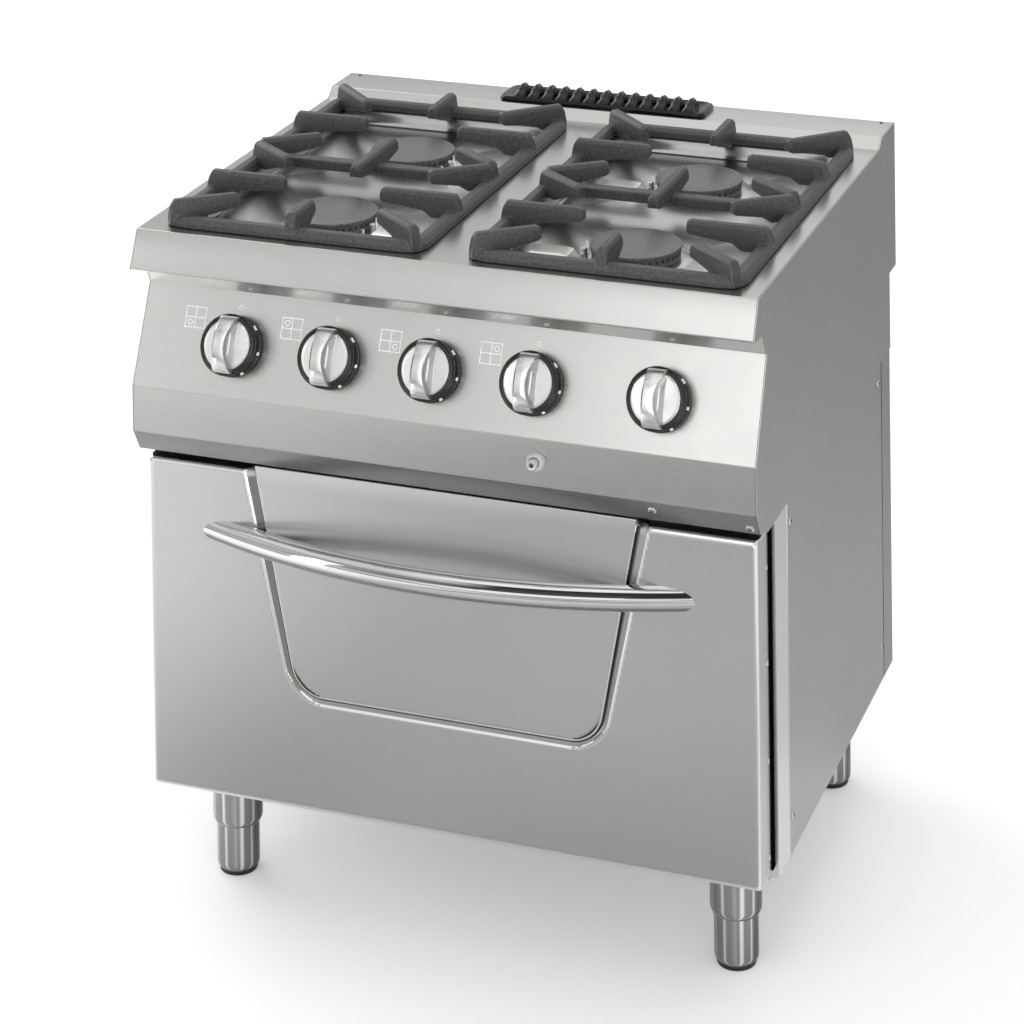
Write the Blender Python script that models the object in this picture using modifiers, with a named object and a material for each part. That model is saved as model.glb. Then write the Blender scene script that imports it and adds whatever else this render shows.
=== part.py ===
"""Commercial gas range: four open burners over a gas oven, on adjustable feet.

Metres, +Z up. The origin is on the floor under the middle of the whole
range, handle included. -Y is the front (door and knobs), +X is the cook's
right. Pieces are laid out in body coordinates, those of the empty
body_origin. Sheet steel is 1.5 mm unless a constant says otherwise.
"""
import math

import bmesh
import bpy
from mathutils import Matrix, Vector

# ------------------------------------------------------- shared dimensions
SIDES = ((-1, "left"), (1, "right"))
WIDTH = 0.800
HALF_WIDTH = WIDTH / 2
WORKTOP_Z = 0.850           # top of the flat hob surface
LEDGE_Z = 0.8626            # top of the raised rear ledge
FRONT_Y = -0.350            # foremost edge of the worktop front
REAR_Y = 0.350
SHEET = 0.0015
GAP = 0.0003                # clearance between neighbouring pieces

UPPER_BOTTOM_Z = 0.567      # lower edge of the upper casing
LOWER_BOTTOM_Z = 0.141      # lower edge of the oven body
LOWER_FRONT_Y = -0.267
LOWER_REAR_Y = 0.311

HOB_X = 0.201               # burner and pan support centre, left and right
BURNER_Y = {"front": -0.174, "rear": 0.0935}
BURNERS = [(f"{row}_{label}", side * HOB_X, y)
           for side, label in SIDES for row, y in BURNER_Y.items()]

DOOR_HALF_X, DOOR_Z0, DOOR_Z1 = 0.3928, 0.150, 0.563
DOOR_FRONT_Y, DOOR_BACK_Y = -0.322, -0.277
HINGE_Y, HINGE_Z = -0.292, 0.163
HANDLE_R = 0.015
HANDLE_BOW = 0.048          # how far the handle's axis stands out at its middle

# half of what the handle stands out in front beyond the depth behind
BODY_SHIFT_Y = -(DOOR_FRONT_Y - HANDLE_BOW - HANDLE_R + REAR_Y) / 2

# ------------------------------------------------------------------- scene
for old in list(bpy.data.objects):
    bpy.data.objects.remove(old)

parts = bpy.data.collections.new("commercial_gas_range")
cutters = bpy.data.collections.new("cutters")
bpy.context.scene.collection.children.link(parts)
bpy.context.scene.collection.children.link(cutters)
cutters.hide_render = True

# --------------------------------------------------------------- materials
MATERIALS = {
    # name: (base colour, roughness, metallic)
    "stainless": ((0.62, 0.61, 0.60), 0.34, 1.0),
    "stainless_side": ((0.46, 0.46, 0.47), 0.40, 1.0),
    "polished": ((0.72, 0.72, 0.73), 0.18, 1.0),
    "chrome": ((0.86, 0.86, 0.87), 0.05, 1.0),
    "cast_iron": ((0.070, 0.070, 0.073), 0.62, 0.3),
    "black_plastic": ((0.018, 0.018, 0.019), 0.35, 0.0),
    "brass": ((0.66, 0.50, 0.22), 0.35, 1.0),
    "aluminised": ((0.55, 0.56, 0.57), 0.45, 1.0),
    "wool": ((0.62, 0.58, 0.48), 0.95, 0.0),
    "gasket": ((0.20, 0.19, 0.18), 0.90, 0.0),
    "enamel": ((0.035, 0.035, 0.040), 0.30, 0.0),
    "leg_steel": ((0.66, 0.66, 0.66), 0.25, 1.0),
}


def make_material(name, colour, roughness, metallic):
    material = bpy.data.materials.new(name)
    material.use_nodes = True
    shader = material.node_tree.nodes["Principled BSDF"]
    shader.inputs["Base Color"].default_value = (*colour, 1.0)
    shader.inputs["Roughness"].default_value = roughness
    shader.inputs["Metallic"].default_value = metallic
    return material


materials = {name: make_material(name, *values) for name, values in MATERIALS.items()}


# ---------------------------------------------------------- object helpers
def empty(name, at):
    found = bpy.data.objects.new(name, None)
    found.location = at
    found.empty_display_size = 0.03
    parts.objects.link(found)
    return found


body_origin = empty("body_origin", (0.0, BODY_SHIFT_Y, 0.0))


def axis_empty(name, at):
    """An empty on a joint's axis, given in body coordinates."""
    found = empty(name, at)
    found.parent = body_origin
    found["in_body"] = at
    return found


def link(name, data, matrix=None):
    """A new object for a mesh or curve, which several objects may share."""
    found = bpy.data.objects.new(name, data)
    parts.objects.link(found)
    if matrix is not None:
        found.matrix_world = matrix
    return found


def discard(*objects):
    for obj in objects:
        bpy.data.objects.remove(obj)


def tidy(mesh):
    work = bmesh.new()
    work.from_mesh(mesh)
    bmesh.ops.remove_doubles(work, verts=work.verts, dist=1e-6)
    bmesh.ops.recalc_face_normals(work, faces=work.faces)
    work.to_mesh(mesh)
    work.free()


def shapers(obj):
    """The objects that the object's boolean modifiers use."""
    return [change.object for change in obj.modifiers if change.type == "BOOLEAN"]


def frozen(obj):
    """The object with its curve or modifiers turned into a plain mesh, and its cutters gone."""
    bpy.context.view_layer.update()
    graph = bpy.context.evaluated_depsgraph_get()
    mesh = bpy.data.meshes.new_from_object(obj.evaluated_get(graph))
    tidy(mesh)
    name, matrix = obj.name, obj.matrix_world.copy()
    discard(obj, *shapers(obj))
    return link(name, mesh, matrix)


def helper(obj):
    """Moves a boolean's second object to the hidden cutters."""
    for group in list(obj.users_collection):
        group.objects.unlink(obj)
    cutters.objects.link(obj)
    obj.hide_render = True
    obj.display_type = "WIRE"
    obj.hide_set(True)
    return obj


def boolean(obj, others, operation):
    for other in others:
        change = obj.modifiers.new(operation.lower() + "_" + other.name, "BOOLEAN")
        change.operation = operation
        change.solver = "EXACT"
        change.object = helper(other)


def cut(obj, *others):
    boolean(obj, others, "DIFFERENCE")


def join(obj, *others):
    boolean(obj, others, "UNION")


SMOOTH_ANGLE = 35           # degrees; sharper edges stay sharp on smooth pieces


def finish(obj, material, parent=body_origin, smooth=False):
    """Gives a piece laid out in body coordinates its material and parent."""
    mesh = obj.data
    # a mesh shared by copies takes its material once only
    if mesh.users == 1 or not mesh.materials:
        mesh.materials.clear()
        mesh.materials.append(materials[material])
    if smooth:
        mesh.shade_smooth()
        mesh.set_sharp_from_angle(angle=math.radians(SMOOTH_ANGLE))
    # an axis empty stands at an offset in body coordinates
    offset = Matrix.Translation(-Vector(parent.get("in_body", (0, 0, 0))))
    for piece in [obj] + shapers(obj):
        placed = piece.matrix_world.copy()
        piece.parent = parent
        piece.matrix_parent_inverse = Matrix.Identity(4)
        piece.matrix_basis = offset @ placed


# ---------------------------------------------------------- shape builders
def box(name, x, y, z, bevel=0.0, segments=1):
    """A box from its lowest and highest x, y and z."""
    size = [high - low for low, high in (x, y, z)]
    centre = [(low + high) / 2 for low, high in (x, y, z)]
    mesh = bpy.data.meshes.new(name)
    work = bmesh.new()
    bmesh.ops.create_cube(work, size=1.0)
    bmesh.ops.scale(work, vec=size, verts=work.verts)
    bmesh.ops.translate(work, vec=centre, verts=work.verts)
    work.to_mesh(mesh)
    work.free()
    obj = link(name, mesh)
    if bevel:
        edge = obj.modifiers.new("rounded_edges", "BEVEL")
        edge.width = bevel
        edge.segments = segments
        edge.limit_method = "ANGLE"
    return obj


# for each extrusion axis, the turn that lays a flat outline across it
PLANES = {
    "X": Matrix(((0, 0, 1, 0), (1, 0, 0, 0), (0, 1, 0, 0), (0, 0, 0, 1))),    # outline in y, z
    "Y": Matrix(((1, 0, 0, 0), (0, 0, -1, 0), (0, 1, 0, 0), (0, 0, 0, 1))),   # outline in x, z
    "Z": Matrix.Identity(4),                                                  # outline in x, y
}


def prism(name, loops, axis, low, high):
    """A flat outline, with any holes as further loops, extruded between two places on an axis."""
    curve = bpy.data.curves.new(name, "CURVE")
    curve.dimensions = "2D"
    curve.fill_mode = "BOTH"
    curve.extrude = (high - low) / 2
    for loop in loops:
        spline = curve.splines.new("POLY")
        spline.points.add(len(loop) - 1)
        for point, (across, up) in zip(spline.points, loop):
            point.co = (across, up, 0, 1)
        spline.use_cyclic_u = True
    middle = (low + high) / 2
    offset = {"X": (middle, 0, 0), "Y": (0, middle, 0), "Z": (0, 0, middle)}[axis]
    return frozen(link(name, curve, Matrix.Translation(offset) @ PLANES[axis]))


def turned(name, profile, steps):
    """A profile of (radius, height) pairs turned round Z, closed if both ends are off the axis."""
    mesh = bpy.data.meshes.new(name)
    count = len(profile)
    edges = [(i, i + 1) for i in range(count - 1)]
    if profile[0][0] > 0 and profile[-1][0] > 0:
        edges.append((count - 1, 0))
    mesh.from_pydata([(radius, 0, height) for radius, height in profile], edges, [])
    obj = link(name, mesh)
    turn = obj.modifiers.new("turned", "SCREW")
    turn.steps = turn.render_steps = steps
    turn.use_merge_vertices = True
    turn.merge_threshold = 0.00005
    return frozen(obj)


def tube(name, points, radius, cyclic=False, resolution=2):
    """A round bar along a line of points, capped unless cyclic."""
    curve = bpy.data.curves.new(name, "CURVE")
    curve.dimensions = "3D"
    curve.bevel_depth = radius
    curve.bevel_resolution = resolution
    curve.use_fill_caps = not cyclic
    spline = curve.splines.new("POLY")
    spline.points.add(len(points) - 1)
    for point, at in zip(spline.points, points):
        point.co = (*at, 1)
    spline.use_cyclic_u = cyclic
    return frozen(link(name, curve))


# ---------------------------------------------------------------- outlines
def rounded(left, right, low, high, radius, steps=3):
    """A rectangle's outline with rounded corners."""
    corners = ((right - radius, high - radius, 0), (left + radius, high - radius, 90),
               (left + radius, low + radius, 180), (right - radius, low + radius, 270))
    out = []
    for across, up, start in corners:
        for k in range(steps + 1):
            angle = math.radians(start + 90 * k / steps)
            out.append((across + radius * math.cos(angle), up + radius * math.sin(angle)))
    return out


def rect(left, right, low, high):
    return [(right, high), (left, high), (left, low), (right, low)]


def circle(across, up, radius, count=16):
    angles = [2 * math.pi * k / count for k in range(count)]
    return [(across + radius * math.cos(angle), up + radius * math.sin(angle))
            for angle in angles]


def offset_line(points, distance):
    """The open line moved sideways to its right by a distance, with mitred corners."""
    out = []
    for i, point in enumerate(points):
        here = Vector(point)
        before = (here - Vector(points[i - 1])).normalized() if i else None
        after = (Vector(points[i + 1]) - here).normalized() if i < len(points) - 1 else None
        normals = [Vector((run.y, -run.x)) for run in (before, after) if run]
        mitre = sum(normals, Vector((0, 0)))
        mitre.normalize()
        out.append(tuple(here + mitre * (distance / mitre.dot(normals[0]))))
    return out


def sheet_outline(points, thickness=SHEET):
    """A bent sheet seen from its edge: the line and the same line moved to its right."""
    return list(points) + list(reversed(offset_line(points, thickness)))


def span(side, near, far):
    """Lowest and highest x between two distances from the middle, on one side."""
    return tuple(sorted((side * near, side * far)))


# ----------------------------------------------------------------- worktop
INNER_HALF = HALF_WIDTH - SHEET - GAP       # half width of the sheets between the casing sides
WELL_FLOOR_Z = 0.8262
WELL_HALF_X, WELL_Y0, WELL_Y1 = 0.163, -0.300, 0.233
WELL_CORNER_R = 0.030
WELL_LEAN = 0.012                           # how far the walls come in at the bottom
BURNER_HOLE_R = 0.0475

# (y, z) along the outer face of the sheet, from the front lip to the rear lip
WORKTOP_LINE = [
    (-0.3105, 0.8015), (FRONT_Y, 0.805), (-0.329, WORKTOP_Z), (0.262, WORKTOP_Z),
    (0.279, LEDGE_Z), (REAR_Y, LEDGE_Z), (REAR_Y, 0.848),
]


def well(name, side, grow, bottom, top):
    """A rounded rectangular pan whose walls lean outwards to the top."""
    left = side * HOB_X - WELL_HALF_X - grow
    right = side * HOB_X + WELL_HALF_X + grow
    front, rear = WELL_Y0 - grow, WELL_Y1 + grow
    pan = prism(name, [rounded(left, right, front, rear, WELL_CORNER_R)], "Z", bottom, top)
    middle_x, middle_y = (left + right) / 2, (front + rear) / 2
    for vertex in pan.data.vertices:
        at = vertex.co
        if at.z < 0:        # the lower half, in the mesh's own coordinates
            at.x = middle_x + (at.x - middle_x) * (1 - WELL_LEAN / (right - middle_x))
            at.y = middle_y + (at.y - middle_y) * (1 - WELL_LEAN / (rear - middle_y))
    return pan


worktop = prism("worktop", [sheet_outline(WORKTOP_LINE)], "X", -INNER_HALF, INNER_HALF)
for side, label in SIDES:
    join(worktop, well("well_outside_" + label, side, SHEET,
                       WELL_FLOOR_Z - SHEET, WORKTOP_Z - 0.0004))
for side, label in SIDES:
    cut(worktop, well("well_inside_" + label, side, 0.0, WELL_FLOOR_Z, WORKTOP_Z + 0.010))
for name, x, y in BURNERS:
    hole = circle(x, y, BURNER_HOLE_R, 24)
    cut(worktop, prism("burner_hole_" + name, [hole], "Z", 0.80, 0.84))
cut(worktop, box("flue_opening", (-0.126, 0.126), (0.292, 0.331), (0.85, 0.88)))
finish(worktop, "stainless")

# ----------------------------------------------------- upper casing sheets
PANEL_BREAK_Y, PANEL_BREAK_Z = -0.347, 0.660    # where the upright front starts to slope
PANEL_LENGTH = 0.125
PANEL_SLOPE = (0.4140, 0.9103)                  # unit direction up the sloping panel, in Y and Z
PANEL_TOP = (PANEL_BREAK_Y + PANEL_SLOPE[0] * PANEL_LENGTH,
             PANEL_BREAK_Z + PANEL_SLOPE[1] * PANEL_LENGTH)

# (y, z) along the outer face, from the turned-up bottom lip to the top lip
PANEL_LINE = [
    (-0.3125, 0.590), (-0.3125, 0.572), (-0.329, 0.575), (PANEL_BREAK_Y, 0.604),
    (PANEL_BREAK_Y, PANEL_BREAK_Z), PANEL_TOP, (-0.3098, 0.7994),
]
# (y, z): follows the worktop and the control panel without their lips
CASING_SIDE = WORKTOP_LINE[:-1] + [
    (REAR_Y, 0.668), (0.3136, 0.668), (0.3136, UPPER_BOTTOM_Z), (-0.300, UPPER_BOTTOM_Z),
] + PANEL_LINE[1:-1]
# (y, z) down the back and in to a small lip
BACK_LINE = [(0.3495, 0.8465), (0.3495, 0.6685), (0.3152, 0.6685), (0.3152, 0.6715)]

for side, label in SIDES:
    finish(prism("upper_side_" + label, [CASING_SIDE], "X",
                 *span(side, HALF_WIDTH, HALF_WIDTH - SHEET)), "stainless_side")

KNOB_X = {"front_left": -0.270, "rear_left": -0.140, "front_right": -0.009,
          "rear_right": 0.121, "oven": 0.279}
KNOB_UP = 0.060                                 # knob axis above the break, along the slope
KNOB_FOOT = Vector((0, PANEL_BREAK_Y + PANEL_SLOPE[0] * KNOB_UP,
                    PANEL_BREAK_Z + PANEL_SLOPE[1] * KNOB_UP))
PANEL_OUT = Vector((0, -PANEL_SLOPE[1], PANEL_SLOPE[0]))
# the sloping panel's own frame: X to the right, Y up the slope, Z out of the panel
PANEL_FRAME = Matrix(((1, 0, 0, 0),
                      (0, PANEL_SLOPE[0], PANEL_OUT.y, 0),
                      (0, PANEL_SLOPE[1], PANEL_OUT.z, 0),
                      (0, 0, 0, 1)))
IGNITER_X, IGNITER_Z = 0.1305, 0.6338


def on_panel(x):
    """The panel's frame with its origin on a knob axis."""
    return Matrix.Translation((x, KNOB_FOOT.y, KNOB_FOOT.z)) @ PANEL_FRAME


control_panel = prism("control_panel", [sheet_outline(PANEL_LINE)], "X", -INNER_HALF, INNER_HALF)
for label, x in KNOB_X.items():
    hole = prism("spindle_hole_" + label, [circle(0, 0, 0.0055, 12)], "Z", -0.01, 0.01)
    hole.matrix_world = on_panel(x) @ hole.matrix_world
    cut(control_panel, hole)
cut(control_panel, prism("igniter_hole", [circle(IGNITER_X, IGNITER_Z, 0.0095)],
                         "Y", -0.36, -0.33))
finish(control_panel, "stainless")

finish(prism("upper_back_panel", [sheet_outline(BACK_LINE)], "X", -INNER_HALF, INNER_HALF),
       "stainless_side")

# -------------------------------------------------------------------- flue
FIN_COUNT, FIN_PITCH, FIN_HALF_THICK = 13, 0.0205, 0.0032
# (y, z): a low middle between two raised ends
FIN_SIDE = [
    (0.2865, 0.8665), (0.2905, 0.8812), (0.2985, 0.8812), (0.3035, 0.8735),
    (0.3195, 0.8735), (0.3245, 0.8812), (0.3325, 0.8812), (0.3365, 0.8665),
]

grille = prism("flue_grille", [rounded(-0.149, 0.149, 0.2822, 0.3448, 0.012),
                               rounded(-0.126, 0.126, 0.2925, 0.3305, 0.004, 1)],
               "Z", LEDGE_Z + GAP, 0.8705)
for k in range(FIN_COUNT):
    x = (k - FIN_COUNT // 2) * FIN_PITCH
    join(grille, prism(f"grille_fin_{k}", [FIN_SIDE], "X",
                       x - FIN_HALF_THICK, x + FIN_HALF_THICK))
finish(frozen(grille), "cast_iron")

# a low duct, and a riser set further back that reaches up to the ledge
DUCT_X, DUCT_BORE_X = (-0.131, 0.131), (-0.1295, 0.1295)
flue_duct = box("flue_duct", DUCT_X, (0.2620, 0.3075), (0.575, 0.700))
join(flue_duct, box("duct_riser", DUCT_X, (0.2870, 0.3365), (0.6725, LEDGE_Z - SHEET - GAP)))
cut(flue_duct, box("duct_bore_low", DUCT_BORE_X, (0.2635, 0.3060), (0.560, 0.6985)),
    box("duct_bore_high", DUCT_BORE_X, (0.2885, 0.3350), (0.6740, 0.870)))
finish(flue_duct, "aluminised")

# ----------------------------------------------------------------- burners
CAP_R = 0.0567
CAP_TOP_Z = 0.845
CAP_DEPTH = 0.0163
CUP_RIM = 0.0005            # the cup's top edge above its own origin
MIXING_DROP = -0.0520       # mixing tube axis below the cup's origin
# (radius, height) from the inside bottom, over the rim, to the outside bottom
CUP_PROFILE = [
    (0, -0.0420), (0.0170, -0.0420), (0.0400, -0.0340), (0.0400, CUP_RIM), (0.0520, CUP_RIM),
    (0.0520, -0.0015), (0.0445, -0.0016), (0.0440, -0.0380), (0.0180, -0.0480), (0, -0.0480),
]
# (radius, height) from the top, down the edge and back under
CAP_PROFILE = [
    (0, 0), (0.0520, 0), (CAP_R, -0.0030), (CAP_R, -0.0062), (0.0510, -0.0078),
    (0.0500, -0.0155), (0.0430, -CAP_DEPTH), (0.0410, -0.0100), (0, -0.0100),
]


def mixing_run(name, length, radius):
    """A round bar from under the cup's middle towards the front."""
    ends = [(0, 0, MIXING_DROP), (0, -length, MIXING_DROP)]
    return tube(name, ends, radius, resolution=1)


burner_cup = turned("burner_cup", CUP_PROFILE, 16)
join(burner_cup, mixing_run("mixing_tube", 0.095, 0.0125))
cut(burner_cup, mixing_run("mixing_bore", 0.110, 0.0100),
    turned("mixing_throat", [(0, -0.035), (0.0080, -0.035), (0.0080, MIXING_DROP),
                             (0, MIXING_DROP)], 12))
burner_cup = frozen(burner_cup)
burner_cap = turned("burner_cap", CAP_PROFILE, 20)
for name, x, y in BURNERS:
    seat = Matrix.Translation((x, y, CAP_TOP_Z - CAP_DEPTH - GAP - CUP_RIM))
    finish(link("burner_body_" + name, burner_cup.data, seat), "cast_iron", smooth=True)
    at = (x, y, CAP_TOP_Z)
    finish(link("burner_head_" + name, burner_cap.data, Matrix.Translation(at)), "cast_iron",
           axis_empty("burner_lift_axis_" + name, at), smooth=True)
discard(burner_cup, burner_cap)

# ------------------------------------------------------------ pan supports
SUPPORT_HALF_X, SUPPORT_Y0, SUPPORT_Y1 = 0.175, -0.312, 0.245
SUPPORT_TOP_Z = 0.8815
SUPPORT_FRAME_Z = 0.8625
SUPPORT_BAR_W = 0.020
CROSSBAR_Y, CROSSBAR_HALF_W = -0.040, 0.009
FINGER_W = 0.015
FINGER_LOW_Z = WORKTOP_Z + 0.0010
FINGER_FOOT = 0.045         # length of the deep outer end of a finger
FINGER_START = 0.002        # how far inside the frame's edge a finger starts
# (y from the crossbar, z): level on top, deepest at the crossbar
BRIDGE_SIDE = [
    (-0.0655, SUPPORT_TOP_Z - 0.004), (-0.0625, SUPPORT_TOP_Z), (0.0625, SUPPORT_TOP_Z),
    (0.0655, SUPPORT_TOP_Z - 0.004), (0.0635, SUPPORT_TOP_Z - 0.016),
    (0.020, WORKTOP_Z + 0.009), (0.010, FINGER_LOW_Z), (-0.010, FINGER_LOW_Z),
    (-0.020, WORKTOP_Z + 0.009), (-0.0635, SUPPORT_TOP_Z - 0.016),
]


def finger(name, outer, inner):
    """A cast bar that rises at its outer end and reaches in, level on top, thinner to the tip."""
    start, end = Vector(outer), Vector(inner)
    length = (end - start).length
    low, top = FINGER_LOW_Z, SUPPORT_TOP_Z
    # (distance from the outer end, z)
    outline = [(0.001, low), (0.0, top - 0.003), (0.004, top), (length - 0.003, top),
               (length, top - 0.004), (length - 0.002, top - 0.016),
               (FINGER_FOOT, low + 0.008), (FINGER_FOOT - 0.012, low)]
    bar = prism(name, [outline], "Y", -FINGER_W / 2, FINGER_W / 2)
    turn = Matrix.Rotation(math.atan2(end.y - start.y, end.x - start.x), 4, "Z")
    bar.matrix_world = Matrix.Translation((start.x, start.y, 0)) @ turn @ bar.matrix_world
    return bar


def finger_spans(middle_x, row, y):
    """Outer and inner ends of the seven fingers round one burner."""
    outward = -1 if row == "front" else 1
    outer_y = SUPPORT_Y0 + FINGER_START if row == "front" else SUPPORT_Y1 - FINGER_START
    reach = SUPPORT_HALF_X - FINGER_START
    spans = [((middle_x - reach, y), (middle_x - 0.066, y)),
             ((middle_x + reach, y), (middle_x + 0.066, y)),
             ((middle_x, outer_y), (middle_x, y + outward * 0.069))]
    for way in (-1, 1):
        # from the frame's corner
        spans.append(((middle_x + way * (SUPPORT_HALF_X - 0.011), outer_y - outward * 0.009),
                      (middle_x + way * 0.097, y + outward * 0.076)))
        # from the end of the crossbar
        spans.append(((middle_x + way * (SUPPORT_HALF_X - 0.009), CROSSBAR_Y + outward * 0.002),
                      (middle_x + way * 0.098, y - outward * 0.080)))
    return spans


def pan_support(name, middle_x):
    left, right = middle_x - SUPPORT_HALF_X, middle_x + SUPPORT_HALF_X
    hole_x = (left + SUPPORT_BAR_W, right - SUPPORT_BAR_W)
    loops = [rounded(left, right, SUPPORT_Y0, SUPPORT_Y1, 0.028),
             rounded(*hole_x, SUPPORT_Y0 + SUPPORT_BAR_W, CROSSBAR_Y - CROSSBAR_HALF_W, 0.018, 2),
             rounded(*hole_x, CROSSBAR_Y + CROSSBAR_HALF_W, SUPPORT_Y1 - SUPPORT_BAR_W, 0.018, 2)]
    frame = prism(name, loops, "Z", WORKTOP_Z + GAP, SUPPORT_FRAME_Z)
    spans = [ends for row, y in BURNER_Y.items() for ends in finger_spans(middle_x, row, y)]
    for count, (outer, inner) in enumerate(spans, 1):
        join(frame, finger(f"{name}_finger_{count}", outer, inner))
    bridge_side = [(y + CROSSBAR_Y, z) for y, z in BRIDGE_SIDE]
    join(frame, prism(name + "_bridge", [bridge_side], "X",
                      middle_x - FINGER_W / 2, middle_x + FINGER_W / 2))
    return frozen(frame)


for side, label in SIDES:
    name = "pan_support_" + label
    lift = axis_empty(f"{name}_lift_axis", (side * HOB_X, CROSSBAR_Y, WORKTOP_Z))
    finish(pan_support(name, side * HOB_X), "cast_iron", lift)

# ----------------------------------------------- knobs, spindles, gas taps
KNOB_R = 0.0365
SPINDLE_R = 0.0040
SPINDLE_BORE_R = 0.0041
TAP_DEPTH = 0.0500          # back of a tap behind the panel face
MANIFOLD_R = 0.0090
# (radius, height above the panel face) in each of these profiles
KNOB_PROFILE = [
    (0, 0.0265), (0.0300, 0.0265), (0.0305, 0.0250), (KNOB_R, 0.0235), (KNOB_R, 0.0205),
    (0.0335, 0.0180), (0.0335, 0.0110), (KNOB_R, 0.0085), (KNOB_R, 0.0048),
    (SPINDLE_BORE_R, 0.0048), (SPINDLE_BORE_R, 0.0200), (0, 0.0200),
]
SPINDLE_PROFILE = [
    (0, 0.0135), (0.0030, 0.0135), (SPINDLE_R, 0.0125), (SPINDLE_R, -0.0295), (0, -0.0295),
]
TAP_PROFILE = [
    (0, -0.0300), (SPINDLE_BORE_R, -0.0300), (SPINDLE_BORE_R, -0.0060), (0.0090, -0.0060),
    (0.0090, -0.0140), (0.0160, -0.0140), (0.0160, -0.0440), (0.0100, -0.0440),
    (0.0100, -TAP_DEPTH), (0, -TAP_DEPTH),
]
# (distance up the slope, height above the panel face)
GRIP_SIDE = [
    (-0.0290, 0.0255), (-0.0285, 0.0290), (-0.0180, 0.0385), (0, 0.0415),
    (0.0180, 0.0385), (0.0285, 0.0290), (0.0290, 0.0255),
]

knob = turned("knob_blank", KNOB_PROFILE, 16)
join(knob, prism("knob_grip", [GRIP_SIDE], "X", -0.0105, 0.0105))
knob = frozen(knob)
spindle = turned("spindle_blank", SPINDLE_PROFILE, 16)
tap = turned("tap_blank", TAP_PROFILE, 16)
for label, x in KNOB_X.items():
    axis = axis_empty("knob_axis_" + label, (x, KNOB_FOOT.y, KNOB_FOOT.z))
    tap_name = "oven_thermostat" if label == "oven" else "gas_tap_" + label
    place = on_panel(x)
    finish(link("knob_" + label, knob.data, place), "black_plastic", axis, smooth=True)
    finish(link("spindle_" + label, spindle.data, place), "brass", axis, smooth=True)
    finish(link(tap_name, tap.data, place), "brass", smooth=True)
discard(knob, spindle, tap)

# the manifold runs just behind the taps
pipe = KNOB_FOOT - PANEL_OUT * (TAP_DEPTH + GAP + MANIFOLD_R)
finish(tube("gas_manifold", [(-0.355, pipe.y, pipe.z), (0.330, pipe.y, pipe.z)], MANIFOLD_R),
       "brass", smooth=True)

# ----------------------------------------------------------------- igniter
# (radius, distance in front of the upright panel face)
BUTTON_PROFILE = [
    (0, 0.0170), (0.0050, 0.0170), (0.0062, 0.0158), (0.0062, -0.0120), (0, -0.0120),
]
IGNITER_PROFILE = [
    (0, -0.0185), (0.0066, -0.0185), (0.0066, 0.0045), (0.0085, 0.0045), (0.0115, 0.0030),
    (0.0115, 0.0003), (0.0090, 0.0003), (0.0090, -0.0420), (0, -0.0420),
]
IGNITER_AT = (IGNITER_X, PANEL_BREAK_Y, IGNITER_Z)
# local Z turned to face the front
IGNITER_PLACE = Matrix.Translation(IGNITER_AT) @ Matrix.Rotation(math.radians(90), 4, "X")

button = turned("igniter_button", BUTTON_PROFILE, 14)
button.matrix_world = IGNITER_PLACE
finish(button, "polished", axis_empty("igniter_axis", IGNITER_AT), smooth=True)
igniter = turned("igniter_body", IGNITER_PROFILE, 14)
igniter.matrix_world = IGNITER_PLACE
finish(igniter, "black_plastic", smooth=True)

# -------------------------------------------------------------- lower body
LOWER_HALF = HALF_WIDTH - 0.0007
LOWER_TOP_Z = UPPER_BOTTOM_Z - 0.0006
CAVITY_HALF_X, CAVITY_Z0, CAVITY_Z1 = 0.280, 0.215, 0.520
CAVITY_Y1 = 0.255
# (x, y) round the front and the rear, each returning along both sides
FRONT_CHANNEL = [(LOWER_HALF, -0.2168), (LOWER_HALF, LOWER_FRONT_Y),
                 (-LOWER_HALF, LOWER_FRONT_Y), (-LOWER_HALF, -0.2168)]
REAR_CHANNEL = [(-LOWER_HALF, 0.2629), (-LOWER_HALF, LOWER_REAR_Y),
                (LOWER_HALF, LOWER_REAR_Y), (LOWER_HALF, 0.2629)]

for side, label in SIDES:
    finish(prism("side_panel_" + label, [rect(-0.2163, 0.2624, LOWER_BOTTOM_Z, LOWER_TOP_Z)],
                 "X", *span(side, LOWER_HALF, LOWER_HALF - SHEET)), "stainless_side")

front_frame = prism("front_frame", [sheet_outline(FRONT_CHANNEL)],
                    "Z", LOWER_BOTTOM_Z, LOWER_TOP_Z)
cut(front_frame, box("oven_mouth", (-CAVITY_HALF_X, CAVITY_HALF_X), (-0.28, -0.25),
                     (CAVITY_Z0, CAVITY_Z1)))
finish(front_frame, "stainless")

rear_panel = prism("rear_panel", [sheet_outline(REAR_CHANNEL)], "Z", LOWER_BOTTOM_Z, LOWER_TOP_Z)
join(rear_panel, box("rear_panel_riser", (-0.3960, 0.3960),
                     (LOWER_REAR_Y - SHEET, LOWER_REAR_Y), (0.5500, 0.6678)))
finish(rear_panel, "stainless_side")

finish(box("base_pan", (-0.3972, 0.3972), (-0.2650, 0.3090),
           (LOWER_BOTTOM_Z + 0.0010, LOWER_BOTTOM_Z + 0.0030)), "aluminised")

# -------------------------------------------------------------------- oven
RUNNER_Z = (0.325, 0.385, 0.445)                    # top face of each shelf runner
RUNNER_ROOT_X, RUNNER_TIP_X = CAVITY_HALF_X + 0.0007, CAVITY_HALF_X - 0.014
LINER_Y0 = LOWER_FRONT_Y + SHEET + GAP
WOOL_CLEARANCE = 0.002

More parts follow.
